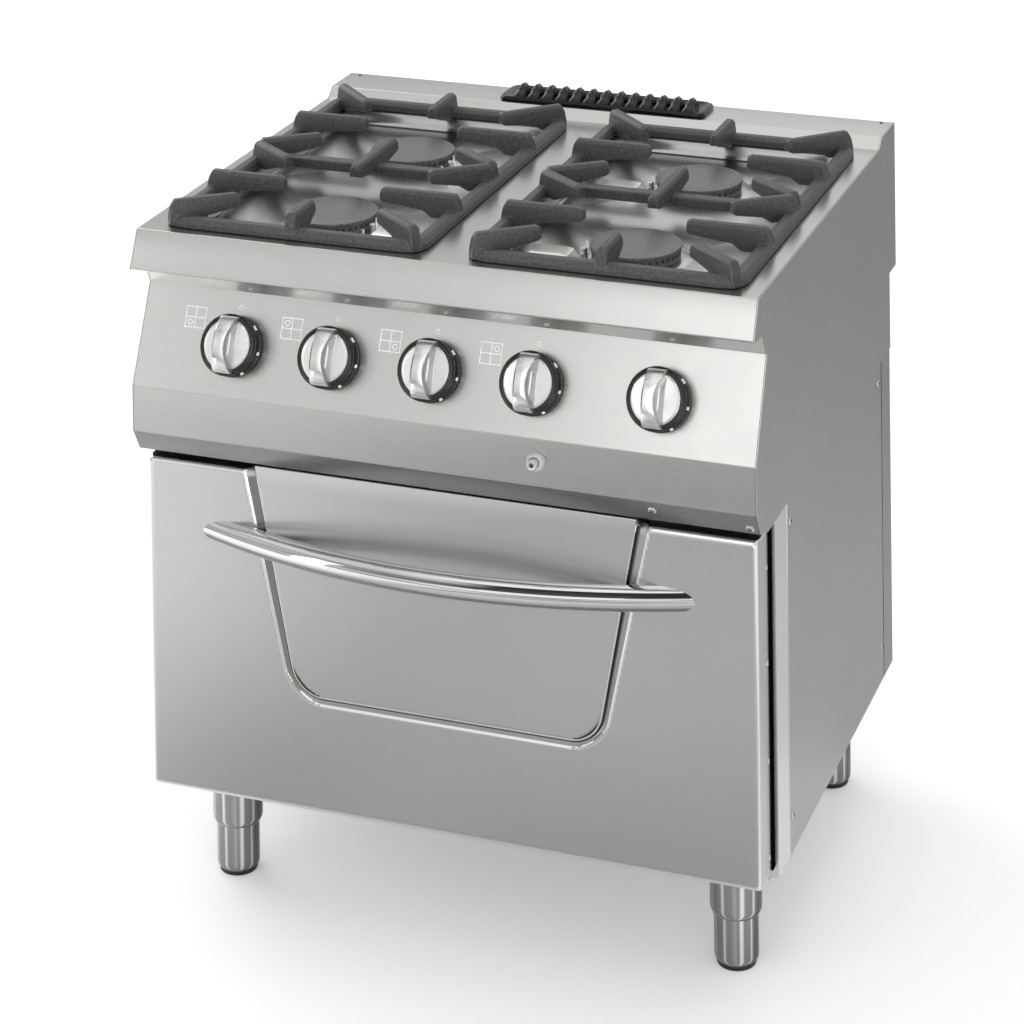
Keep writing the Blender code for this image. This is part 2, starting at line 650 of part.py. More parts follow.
liner = box("oven_liner", (-CAVITY_HALF_X - SHEET, CAVITY_HALF_X + SHEET),
            (LINER_Y0, CAVITY_Y1 + SHEET), (CAVITY_Z0 - SHEET, CAVITY_Z1 + SHEET))
cut(liner, box("oven_cavity", (-CAVITY_HALF_X, CAVITY_HALF_X),
               (LINER_Y0 - 0.01, CAVITY_Y1), (CAVITY_Z0, CAVITY_Z1)))
for k, z in enumerate(RUNNER_Z):
    for side in (-1, 1):
        runner = [(side * RUNNER_ROOT_X, z - 0.010), (side * RUNNER_TIP_X, z - 0.003),
                  (side * RUNNER_TIP_X, z), (side * RUNNER_ROOT_X, z)]
        join(liner, prism(f"runner_{k}_{side + 1}", [runner], "Y", -0.250, 0.245))
finish(liner, "enamel")

finish(prism("oven_insulation",
             [rect(-0.318, 0.318, 0.184, 0.551),
              rect(-CAVITY_HALF_X - WOOL_CLEARANCE, CAVITY_HALF_X + WOOL_CLEARANCE,
                   CAVITY_Z0 - WOOL_CLEARANCE, CAVITY_Z1 + WOOL_CLEARANCE)],
             "Y", -0.262, 0.256), "wool")

# (x, z): a raised plate on two legs
floor_line = [(-0.262, CAVITY_Z0 + GAP), (-0.262, 0.2505),
              (0.262, 0.2505), (0.262, CAVITY_Z0 + GAP)]
finish(prism("oven_floor_plate", [sheet_outline(floor_line, 0.0025)], "Y", -0.250, 0.240),
       "enamel")

# (x, y): a U open to the rear, under the floor plate
OVEN_BURNER_Z = 0.231
OVEN_BURNER_PATH = [(-0.11, 0.235), (-0.11, -0.16), (-0.08, -0.19),
                    (0.08, -0.19), (0.11, -0.16), (0.11, 0.235)]
finish(tube("oven_burner", [(x, y, OVEN_BURNER_Z) for x, y in OVEN_BURNER_PATH], 0.0110),
       "aluminised", smooth=True)

# the shelf rests on the middle runners
SHELF_HALF_X, SHELF_Y0, SHELF_Y1, SHELF_RIM_R = 0.271, -0.215, 0.250, 0.003
SHELF_Z = RUNNER_Z[1] + GAP + SHELF_RIM_R
WIRE_COUNT, WIRE_PITCH, WIRE_R = 9, 0.054, 0.0024
WIRE_OVERHANG, WIRE_RISE = 0.0015, 0.0012           # past and above the rim's axis
shelf = tube("oven_shelf", [(x, y, SHELF_Z) for x, y in (
    (-SHELF_HALF_X, SHELF_Y0), (SHELF_HALF_X, SHELF_Y0),
    (SHELF_HALF_X, SHELF_Y1), (-SHELF_HALF_X, SHELF_Y1))],
    SHELF_RIM_R, cyclic=True, resolution=1)
for k in range(WIRE_COUNT):
    x = (k - WIRE_COUNT // 2) * WIRE_PITCH
    ends = [(x, y, SHELF_Z + WIRE_RISE)
            for y in (SHELF_Y0 - WIRE_OVERHANG, SHELF_Y1 + WIRE_OVERHANG)]
    join(shelf, tube(f"shelf_wire_{k}", ends, WIRE_R, resolution=1))
finish(frozen(shelf), "chrome", axis_empty("oven_shelf_axis", (0, SHELF_Y0, SHELF_Z)))

# -------------------------------------------------------------------- door
BEAD_LEAN = 0.205           # sideways run of the bead's sides per unit of height
BEAD_STEPS = 6              # along each rounded corner
SLOT_X, SLOT_Y, SLOT_Z = (0.3300, 0.3600), (-0.304, -0.25), (0.14, 0.185)


def bead_edge(half_at_top, z_low, radius, z_top):
    """One rounded trapezoid edge of the bead; half_at_top is its half width at the door's top."""
    side = Vector((-BEAD_LEAN, -1)).normalized()
    reach = radius * math.tan(math.acos(side.dot(Vector((-1, 0)))) / 2)
    corner = Vector((half_at_top - BEAD_LEAN * (DOOR_Z1 - z_low), z_low))
    first, last = corner - side * reach, corner + Vector((-reach, 0))
    right = [(half_at_top + BEAD_LEAN * (z_top - DOOR_Z1), z_top)]
    for k in range(BEAD_STEPS + 1):
        t = k / BEAD_STEPS
        right.append(tuple(first * (1 - t) ** 2 + corner * 2 * t * (1 - t) + last * t ** 2))
    return right + [(-x, z) for x, z in reversed(right)]


def bead(grow, top):
    """The pressed bead: a narrow band down one side, along the bottom and up the other."""
    outer = bead_edge(0.262 + grow, 0.283 - grow, 0.048, top)
    inner = bead_edge(0.2455 - grow, 0.2935 + grow, 0.040, top)
    return outer + list(reversed(inner))


hinge_axis = axis_empty("door_hinge_axis", (0, HINGE_Y, HINGE_Z))

# the outer skin: a rounded box trimmed flat and open at the back, with the bead pressed in
door = box("door_panel", (-DOOR_HALF_X, DOOR_HALF_X), (DOOR_FRONT_Y, DOOR_BACK_Y + 0.02),
           (DOOR_Z0, DOOR_Z1), bevel=0.007, segments=3)
cut(door, box("door_back_trim", (-0.5, 0.5), (DOOR_BACK_Y, DOOR_BACK_Y + 0.1), (0.1, 0.7)))
cut(door, box("door_inside", (-DOOR_HALF_X + SHEET, DOOR_HALF_X - SHEET),
              (DOOR_FRONT_Y + SHEET, 0.0), (DOOR_Z0 + SHEET, DOOR_Z1 - SHEET),
              bevel=0.0055, segments=2))
join(door, prism("bead_inside", [bead(SHEET, DOOR_Z1 - 0.0035)],
                 "Y", DOOR_FRONT_Y + 0.0005, DOOR_FRONT_Y + 0.0045))
cut(door, prism("bead_outside", [bead(0.0, DOOR_Z1 + 0.01)],
                "Y", DOOR_FRONT_Y - 0.01, DOOR_FRONT_Y + 0.0028))
door = frozen(door)
for side, label in SIDES:
    cut(door, box("door_slot_" + label, span(side, *SLOT_X), SLOT_Y, SLOT_Z))
finish(door, "stainless", hinge_axis)

# the back sheet, with a bored ear beside each hinge slot
inner_door = box("door_inner_panel", (-0.3892, 0.3892),
                 (DOOR_BACK_Y - 0.0022, DOOR_BACK_Y - 0.0007), (0.1535, 0.5595))
for side, label in SIDES:
    join(inner_door, box("door_ear_" + label, span(side, 0.3605, 0.3635),
                         (-0.3030, DOOR_BACK_Y - 0.0010), (0.1545, 0.1790)))
for side, label in SIDES:
    cut(inner_door, box("inner_slot_" + label, span(side, *SLOT_X), SLOT_Y, SLOT_Z),
        prism("ear_bore_" + label, [circle(HINGE_Y, HINGE_Z, 0.0041, 24)],
              "X", *span(side, 0.355, 0.370)))
finish(inner_door, "stainless", hinge_axis)

finish(box("door_insulation", (-0.3250, 0.3250), (-0.3165, DOOR_BACK_Y - 0.0030),
           (0.1560, 0.5560)), "wool", hinge_axis)

# the handle bows forward along a parabola and is trimmed at the door's face
HANDLE_Z, HANDLE_HALF_X = 0.4802, 0.320
HANDLE_CURVE = 0.60         # fall of the bow per squared distance from the middle
HANDLE_STEPS = 20
handle_line = []
for k in range(HANDLE_STEPS + 1):
    x = -HANDLE_HALF_X + 2 * HANDLE_HALF_X / HANDLE_STEPS * k
    handle_line.append((x, DOOR_FRONT_Y - (HANDLE_BOW - HANDLE_CURVE * x * x), HANDLE_Z))
handle = tube("door_handle", handle_line, HANDLE_R, resolution=3)
cut(handle, box("handle_trim", (-0.5, 0.5), (DOOR_FRONT_Y - GAP, 0.0), (0.3, 0.7)))
finish(frozen(handle), "chrome", hinge_axis, smooth=True)

gasket_line = [(x, -0.2720, z) for x, z in rounded(-0.305, 0.305, 0.192, 0.546, 0.020)]
finish(tube("door_gasket", gasket_line, 0.0044, cyclic=True, resolution=1), "gasket")

# hinge brackets on the body: (y, z) outline, each with a pin through the door's ear
BRACKET_NEAR, BRACKET_FAR = 0.3380, 0.3420
BRACKET_SIDE = [
    (LOWER_FRONT_Y - GAP, 0.1530), (LOWER_FRONT_Y - GAP, 0.1850), (-0.2750, 0.1750),
    (-0.2990, 0.1700), (-0.2990, 0.1560), (-0.2800, 0.1530),
]
for side, label in SIDES:
    bracket = prism("door_hinge_" + label, [BRACKET_SIDE],
                    "X", *span(side, BRACKET_NEAR, BRACKET_FAR))
    join(bracket, prism("hinge_pin_" + label, [circle(HINGE_Y, HINGE_Z, 0.0040, 24)],
                        "X", *span(side, BRACKET_NEAR + 0.001, 0.3680)))
    finish(frozen(bracket), "leg_steel")

# -------------------------------------------------------------------- legs
LEG_X, LEG_Y = 0.3295, {"front": -0.210, "rear": 0.242}
SLEEVE_R, SLEEVE_BORE_R, FOOT_R = 0.0315, 0.0278, 0.027
# (radius, height above the floor) in both profiles
SLEEVE_PROFILE = [
    (SLEEVE_BORE_R, 0.1416), (SLEEVE_R, 0.1416), (SLEEVE_R, 0.0650), (0.0300, 0.0610),
    (SLEEVE_BORE_R, 0.0600),
]
FOOT_PROFILE = [
    (0, 0.1300), (0.0250, 0.1300), (FOOT_R, 0.1280), (FOOT_R, 0.0085), (0.0262, 0.0060),
    (0.0240, 0.0040), (0.0240, 0.0), (0, 0.0),
]

sleeve = turned("sleeve_blank", SLEEVE_PROFILE, 16)
foot = turned("foot_blank", FOOT_PROFILE, 16)
for row, y in LEG_Y.items():
    for side, label in SIDES:
        at = (side * LEG_X, y, 0.0)
        place = Matrix.Translation(at)
        finish(link(f"leg_sleeve_{row}_{label}", sleeve.data, place), "leg_steel", smooth=True)
        finish(link(f"leg_foot_{row}_{label}", foot.data, place), "leg_steel",
               axis_empty(f"leg_axis_{row}_{label}", at), smooth=True)
discard(sleeve, foot)
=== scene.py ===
"""Looks of the commercial gas range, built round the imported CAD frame. Metres, +Z up, -Y is the front."""
import math

import bmesh
import bpy
import numpy as np
from mathutils import Matrix, Vector


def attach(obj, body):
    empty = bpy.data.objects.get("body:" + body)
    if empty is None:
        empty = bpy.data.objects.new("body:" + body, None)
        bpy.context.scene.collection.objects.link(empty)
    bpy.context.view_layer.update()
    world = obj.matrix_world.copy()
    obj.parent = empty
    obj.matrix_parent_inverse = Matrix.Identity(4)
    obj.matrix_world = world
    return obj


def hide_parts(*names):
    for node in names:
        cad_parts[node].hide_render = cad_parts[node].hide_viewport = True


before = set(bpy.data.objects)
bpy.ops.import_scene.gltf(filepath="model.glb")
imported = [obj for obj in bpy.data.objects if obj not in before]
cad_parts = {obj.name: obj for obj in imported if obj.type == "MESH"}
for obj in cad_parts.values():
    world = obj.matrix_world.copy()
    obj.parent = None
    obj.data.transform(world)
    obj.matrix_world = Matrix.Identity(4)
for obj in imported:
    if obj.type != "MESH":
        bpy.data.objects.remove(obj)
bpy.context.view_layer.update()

SY = 0.0175                      # body coordinates to row coordinates, along Y
HOB_X = 0.201
BURNER_Y = {"front": -0.174, "rear": 0.0935}
KNOB_X = {"front_left": -0.270, "rear_left": -0.140, "front_right": -0.009, "rear_right": 0.121, "oven": 0.279}
SLOPE = (0.4140, 0.9103)
BREAK_Y, BREAK_Z = -0.347, 0.660
PANEL_TOP = (BREAK_Y + SLOPE[0] * 0.125, BREAK_Z + SLOPE[1] * 0.125)
WORKTOP_Z, LEDGE_Z = 0.850, 0.8626
TOP_Z = 0.8815
CROSS_Y = -0.040

# =============================================================== materials


class Nodes:
    """A small helper for building a material's node tree."""

    def __init__(self, name):
        self.mat = bpy.data.materials.new(name)
        self.mat.use_nodes = True
        self.tree = self.mat.node_tree
        self.shader = self.tree.nodes["Principled BSDF"]

    def add(self, kind, **values):
        node = self.tree.nodes.new(kind)
        for key, value in values.items():
            if key.startswith("in_"):
                node.inputs[int(key[3:])].default_value = value
            else:
                setattr(node, key, value)
        return node

    def link(self, a, b):
        self.tree.links.new(a, b)

    def coords(self, scale, rotation=(0, 0, 0)):
        at = self.add("ShaderNodeTexCoord")
        place = self.add("ShaderNodeMapping")
        place.inputs["Scale"].default_value = scale
        place.inputs["Rotation"].default_value = rotation
        self.link(at.outputs["Object"], place.inputs["Vector"])
        return place.outputs["Vector"]

    def noise(self, vector, scale=1.0, detail=3.0, rough=0.55):
        node = self.add("ShaderNodeTexNoise")
        node.inputs["Scale"].default_value = scale
        node.inputs["Detail"].default_value = detail
        node.inputs["Roughness"].default_value = rough
        self.link(vector, node.inputs["Vector"])
        return node.outputs["Fac"]

    def spread(self, value, low, high, from_low=0.3, from_high=0.7):
        node = self.add("ShaderNodeMapRange")
        node.inputs["From Min"].default_value = from_low
        node.inputs["From Max"].default_value = from_high
        node.inputs["To Min"].default_value = low
        node.inputs["To Max"].default_value = high
        self.link(value, node.inputs["Value"])
        return node.outputs["Result"]

    def mix(self, fac, a, b):
        node = self.add("ShaderNodeMix", data_type="RGBA")
        if isinstance(fac, float):
            node.inputs["Factor"].default_value = fac
        else:
            self.link(fac, node.inputs["Factor"])
        for socket, value in ((node.inputs[6], a), (node.inputs[7], b)):
            if isinstance(value, tuple):
                socket.default_value = (*value, 1.0) if len(value) == 3 else value
            else:
                self.link(value, socket)
        return node.outputs[2]

    def bump(self, height, strength, distance, before=None):
        node = self.add("ShaderNodeBump")
        node.inputs["Strength"].default_value = strength
        node.inputs["Distance"].default_value = distance
        self.link(height, node.inputs["Height"])
        if before is not None:
            self.link(before, node.inputs["Normal"])
        return node.outputs["Normal"]

    def edge_mask(self, radius, low=0.02, high=0.35):
        """0 on flat parts, 1 on edges: how far a bevelled normal turns from the true one."""
        bevel = self.add("ShaderNodeBevel", samples=3)
        bevel.inputs["Radius"].default_value = radius
        geo = self.add("ShaderNodeNewGeometry")
        dot = self.add("ShaderNodeVectorMath", operation="DOT_PRODUCT")
        self.link(bevel.outputs["Normal"], dot.inputs[0])
        self.link(geo.outputs["Normal"], dot.inputs[1])
        turn = self.add("ShaderNodeMath", operation="SUBTRACT", in_0=1.0)
        self.link(dot.outputs["Value"], turn.inputs[1])
        return self.spread(turn.outputs[0], 0.0, 1.0, low, high)

    def set(self, **sockets):
        for key, value in sockets.items():
            socket = self.shader.inputs[key.replace("_", " ")]
            if isinstance(value, (int, float, tuple)):
                socket.default_value = (*value, 1.0) if isinstance(value, tuple) and len(value) == 3 and socket.type == "RGBA" else value
            else:
                self.link(value, socket)
        return self.mat


def tint(colour, k):
    return tuple(min(1.0, c * k) for c in colour)


def steel(name, colour, rough, along="X", grain=0.10, aniso=0.45, blotch=0.05, line=1.0, bump=0.06, vary=0.03):
    """Brushed stainless: fine lines along one axis, slow cloudiness, and a faint film of handling marks."""
    n = Nodes(name)
    across, flow = 1500.0 * line, 7.0
    scale = {"X": (flow, across, across), "Y": (across, flow, across), "Z": (across, across, flow)}[along]
    lines = n.noise(n.coords(scale), 1.0, 2.0, 0.7)
    wide = n.noise(n.coords(tuple(s * 0.22 for s in scale)), 1.0, 2.0, 0.5)
    cloud = n.noise(n.coords((5.0, 5.0, 5.0)), 1.0, 3.0, 0.5)
    smear = n.noise(n.coords((23.0, 23.0, 23.0)), 1.0, 4.0, 0.6)
    colour_a = n.mix(n.spread(lines, 0.0, 1.0, 0.25, 0.75), tint(colour, 1 - grain), tint(colour, 1 + grain))
    colour_b = n.mix(n.spread(wide, 0.0, 1.0, 0.25, 0.75), tint(colour, 1 - grain * 0.5), tint(colour, 1 + grain * 0.5))
    colour_c = n.mix(0.4, colour_a, colour_b)
    colour_d = n.mix(n.spread(cloud, 0.0, blotch), colour_c, tint(colour, 0.55))
    rough_a = n.spread(lines, rough - vary, rough + vary, 0.2, 0.8)
    rough_b = n.add("ShaderNodeMath", operation="ADD")
    n.link(rough_a, rough_b.inputs[0])
    n.link(n.spread(smear, -0.5 * vary, 0.7 * vary), rough_b.inputs[1])
    height = n.bump(lines, bump, 0.00012, n.bump(wide, bump * 0.6, 0.0003))
    tangent = n.add("ShaderNodeCombineXYZ", in_0=float(along == "X"), in_1=float(along == "Y"), in_2=float(along == "Z"))
    n.link(tangent.outputs[0], n.shader.inputs["Tangent"])
    return n.set(Base_Color=colour_d, Metallic=1.0, Roughness=rough_b.outputs[0], Anisotropic=aniso, Normal=height)


def cast(name, colour, rough, pit=1.0, worn_and_highlit_tone=(0.16, 0.16, 0.165), wear_and_highlight=0.5, spec=0.5):
    """Cast iron: sand-cast grain, cloudy tone, edges lighter from rubbed wear and a painted edge highlight."""
    n = Nodes(name)
    at = n.coords((1.0, 1.0, 1.0))
    grain = n.noise(at, 950.0, 4.0, 0.65)
    sand = n.noise(n.coords((420.0, 420.0, 300.0)), 1.0, 5.0, 0.75)
    lumps = n.noise(at, 150.0, 3.0, 0.5)
    cloud = n.noise(at, 14.0, 4.0, 0.6)
    base = n.mix(n.spread(sand, 0.0, 1.0, 0.34, 0.66), tint(colour, 0.35), tint(colour, 1.9))
    base = n.mix(n.spread(grain, 0.0, 0.6, 0.45, 0.75), base, tint(colour, 1.9))
    base = n.mix(n.spread(cloud, 0.0, 0.45), base, tint(colour, 1.25))
    # edges lighter: partly rubbed wear, partly a painted edge highlight
    edge = n.edge_mask(0.0018, 0.010, 0.14)
    rub_and_highlight = n.add("ShaderNodeMath", operation="MULTIPLY", in_1=wear_and_highlight)
    n.link(edge, rub_and_highlight.inputs[0])
    base = n.mix(rub_and_highlight.outputs[0], base, worn_and_highlit_tone)
    normal = n.bump(grain, 0.30 * pit, 0.0005, n.bump(sand, 0.55 * pit, 0.0009, n.bump(lumps, 0.25 * pit, 0.0012)))
    return n.set(Base_Color=base, Metallic=0.30, Roughness=n.spread(sand, rough - 0.10, rough + 0.10), Normal=normal,
                 Specular_IOR_Level=spec)


def plastic(name, colour, rough, speck=500.0, bump=0.08):
    n = Nodes(name)
    at = n.coords((1.0, 1.0, 1.0))
    fine = n.noise(at, speck, 3.0, 0.6)
    cloud = n.noise(at, 30.0, 3.0, 0.5)
    base = n.mix(n.spread(cloud, 0.0, 1.0), tint(colour, 0.85), tint(colour, 1.2))
    base = n.mix(n.edge_mask(0.0008), base, tint(colour, 2.2))
    return n.set(Base_Color=base, Roughness=n.spread(fine, rough - 0.05, rough + 0.08), Normal=n.bump(fine, bump, 0.0002))


def plated(name, colour, rough, waves=0.02):
    """Polished plating: almost clean, with faint waviness and smudges in the gloss."""
    n = Nodes(name)
    at = n.coords((1.0, 1.0, 1.0))
    smudge = n.noise(at, 45.0, 4.0, 0.6)
    long = n.noise(at, 8.0, 2.0, 0.5)
    fine = n.noise(n.coords((30.0, 2500.0, 2500.0)), 1.0, 2.0, 0.6)
    base = n.mix(n.spread(smudge, 0.0, 0.5), colour, tint(colour, 0.93))
    return n.set(Base_Color=base, Metallic=1.0, Roughness=n.spread(smudge, rough * 0.7, rough * 1.5),
                 Normal=n.bump(long, waves, 0.002, n.bump(fine, waves * 0.6, 0.00004)))


def fibre(name, colour, scale=260.0):
    n = Nodes(name)
    strands = n.noise(n.coords((scale * 3, scale, scale * 0.6)), 1.0, 5.0, 0.7)
    clumps = n.noise(n.coords((40.0, 40.0, 40.0)), 1.0, 3.0, 0.6)
    base = n.mix(n.spread(strands, 0.0, 1.0), tint(colour, 0.6), tint(colour, 1.25))
    base = n.mix(n.spread(clumps, 0.0, 0.5), base, tint(colour, 0.8))
    return n.set(Base_Color=base, Roughness=0.95, Normal=n.bump(strands, 0.7, 0.002, n.bump(clumps, 0.5, 0.006)))


def enamel(name, colour, rough=0.22):
    """Vitreous enamel: deep gloss with orange peel and the odd pale fleck."""
    n = Nodes(name)
    at = n.coords((1.0, 1.0, 1.0))
    peel = n.noise(at, 220.0, 2.0, 0.5)
    fleck = n.noise(at, 700.0, 1.0, 0.5)
    base = n.mix(n.spread(fleck, 0.0, 1.0, 0.70, 0.78), colour, (0.25, 0.25, 0.27))
    return n.set(Base_Color=base, Roughness=n.spread(peel, rough - 0.04, rough + 0.08), Normal=n.bump(peel, 0.10, 0.0005),
                 Coat_Weight=0.3, Coat_Roughness=0.1)


def dull(mat):
    """No gloss at all: the black that stands in for shade deep in a gap, painted shade."""
    mat.node_tree.nodes["Principled BSDF"].inputs["Specular IOR Level"].default_value = 0.0
    return mat


def lifted(mat, strength):
    """Adds the light that a shallow recess between pale sheets throws back at itself."""
    shader = mat.node_tree.nodes["Principled BSDF"]
    shader.inputs["Emission Color"].default_value = (1.0, 0.99, 0.97, 1.0)
    shader.inputs["Emission Strength"].default_value = strength
    return mat


def ink_white(name, strength):
    mat = plastic(name, (0.98, 0.98, 0.97), 0.5, bump=0.01)
    shader = mat.node_tree.nodes["Principled BSDF"]
    # the print glows a little: painted light that keeps it white
    shader.inputs["Emission Color"].default_value = (1.0, 1.0, 0.99, 1.0)
    shader.inputs["Emission Strength"].default_value = strength
    return mat


def band(n, value, a0, a1, b0, b1, high):
    """A soft-edged band of an angle in degrees: rises from a0 to a1, falls from b0 to b1."""
    rad = math.radians
    up = n.spread(value, 0.0, high, rad(a0), rad(a1))
    down = n.spread(value, 0.0, high, rad(b0), rad(b1))
    node = n.add("ShaderNodeMath", operation="SUBTRACT")
    n.link(up, node.inputs[0])
    n.link(down, node.inputs[1])
    return node.outputs[0]


def arith(n, kind, a, b):
    node = n.add("ShaderNodeMath", operation=kind)
    for k, value in enumerate((a, b)):
        if isinstance(value, (int, float)):
            node.inputs[k].default_value = value
        else:
            n.link(value, node.inputs[k])
    return node.outputs[0]


def mirror_ray(n):
    """The three components of the direction a polished surface mirrors."""
    at = n.add("ShaderNodeTexCoord")
    split = n.add("ShaderNodeSeparateXYZ")
    n.link(at.outputs["Reflection"], split.inputs[0])
    return split.outputs


def grey_of(n, value):
    node = n.add("ShaderNodeCombineColor")
    for k in range(3):
        n.link(value, node.inputs[k])
    return node.outputs[0]


def tube_chrome(name, colour, rough):
    """Bright plating with dark bands painted into its colour along the tube by the mirror direction: painted
    reflections of a studio's dark flags, with smudges and faint waviness.
    """
    n = Nodes(name)
    at = n.coords((1.0, 1.0, 1.0))
    smudge = n.noise(at, 45.0, 4.0, 0.6)
    long = n.noise(at, 9.0, 2.0, 0.5)
    rx, ry, rz = mirror_ray(n)
    # painted reflections: dark bands laid into the base colour wherever the mirror direction points
    angle = arith(n, "ARCTAN2", rz, arith(n, "MULTIPLY", ry, -1.0))
    share = n.spread(rx, 0.42, 0.97, -0.75, -0.20)
    wide = arith(n, "MULTIPLY", band(n, angle, 12, 25, 34, 74, 1.0), share)
    crisp = arith(n, "MULTIPLY", band(n, angle, 21, 24, 66, 72, 1.0), n.spread(rx, 0.0, 0.98, -0.40, -0.16))
    dark = arith(n, "MAXIMUM", wide, crisp)
    dark = arith(n, "MAXIMUM", dark, band(n, angle, -118, -108, -78, -68, 0.72))
    dark = arith(n, "MAXIMUM", dark, band(n, angle, 136, 146, 176, 179, 0.55))
    dark = arith(n, "MAXIMUM", dark, arith(n, "MULTIPLY", band(n, angle, -18, -13, -8, -3, 0.45), n.spread(rx, 0.0, 1.0, -0.5, 0.1)))
    keep = arith(n, "SUBTRACT", 1.0, dark)
    base = n.mix(n.spread(smudge, 0.0, 0.4), colour, tint(colour, 0.93))
    base = n.mix(keep, (0.012, 0.012, 0.014), base)
    return n.set(Base_Color=base, Metallic=1.0, Roughness=n.spread(smudge, rough * 0.7, rough * 1.5), Normal=n.bump(long, 0.02, 0.002))


def turned_leg(name):
    """Turned stainless tube: upright fine lines, with narrow bright streaks and a dark band painted into its colour by
    the mirror direction: painted highlights and a painted reflection.
    """
    n = Nodes(name)
    lines = n.noise(n.coords((900.0, 900.0, 6.0)), 1.0, 2.0, 0.7)
    smear = n.noise(n.coords((23.0, 23.0, 23.0)), 1.0, 4.0, 0.6)
    rx, ry, rz = mirror_ray(n)
    angle = arith(n, "ARCTAN2", rx, arith(n, "MULTIPLY", ry, -1.0))
    # painted highlights: bright streaks laid into the base colour by the mirror direction; below them a painted dark
    # band
    light = arith(n, "MAXIMUM", band(n, angle, -60, -50, -46, -36, 0.75), band(n, angle, 28, 40, 48, 58, 1.0))
    light = arith(n, "MAXIMUM", light, band(n, angle, 94, 100, 104, 110, 0.85))
    light = arith(n, "MAXIMUM", light, band(n, angle, -8, 8, 12, 24, 0.22))
    light = arith(n, "MAXIMUM", light, band(n, angle, -150, -120, -112, -100, 0.35))
    base = n.mix(light, n.mix(n.spread(lines, 0.0, 1.0, 0.25, 0.75), (0.265, 0.265, 0.263), (0.35, 0.35, 0.347)), (0.97, 0.965, 0.955))
    base = n.mix(band(n, angle, 114, 128, 179, 180, 0.70), base, (0.08, 0.08, 0.08))
    return n.set(Base_Color=base, Metallic=1.0, Roughness=n.spread(smear, 0.18, 0.27), Normal=n.bump(lines, 0.01, 0.0001))


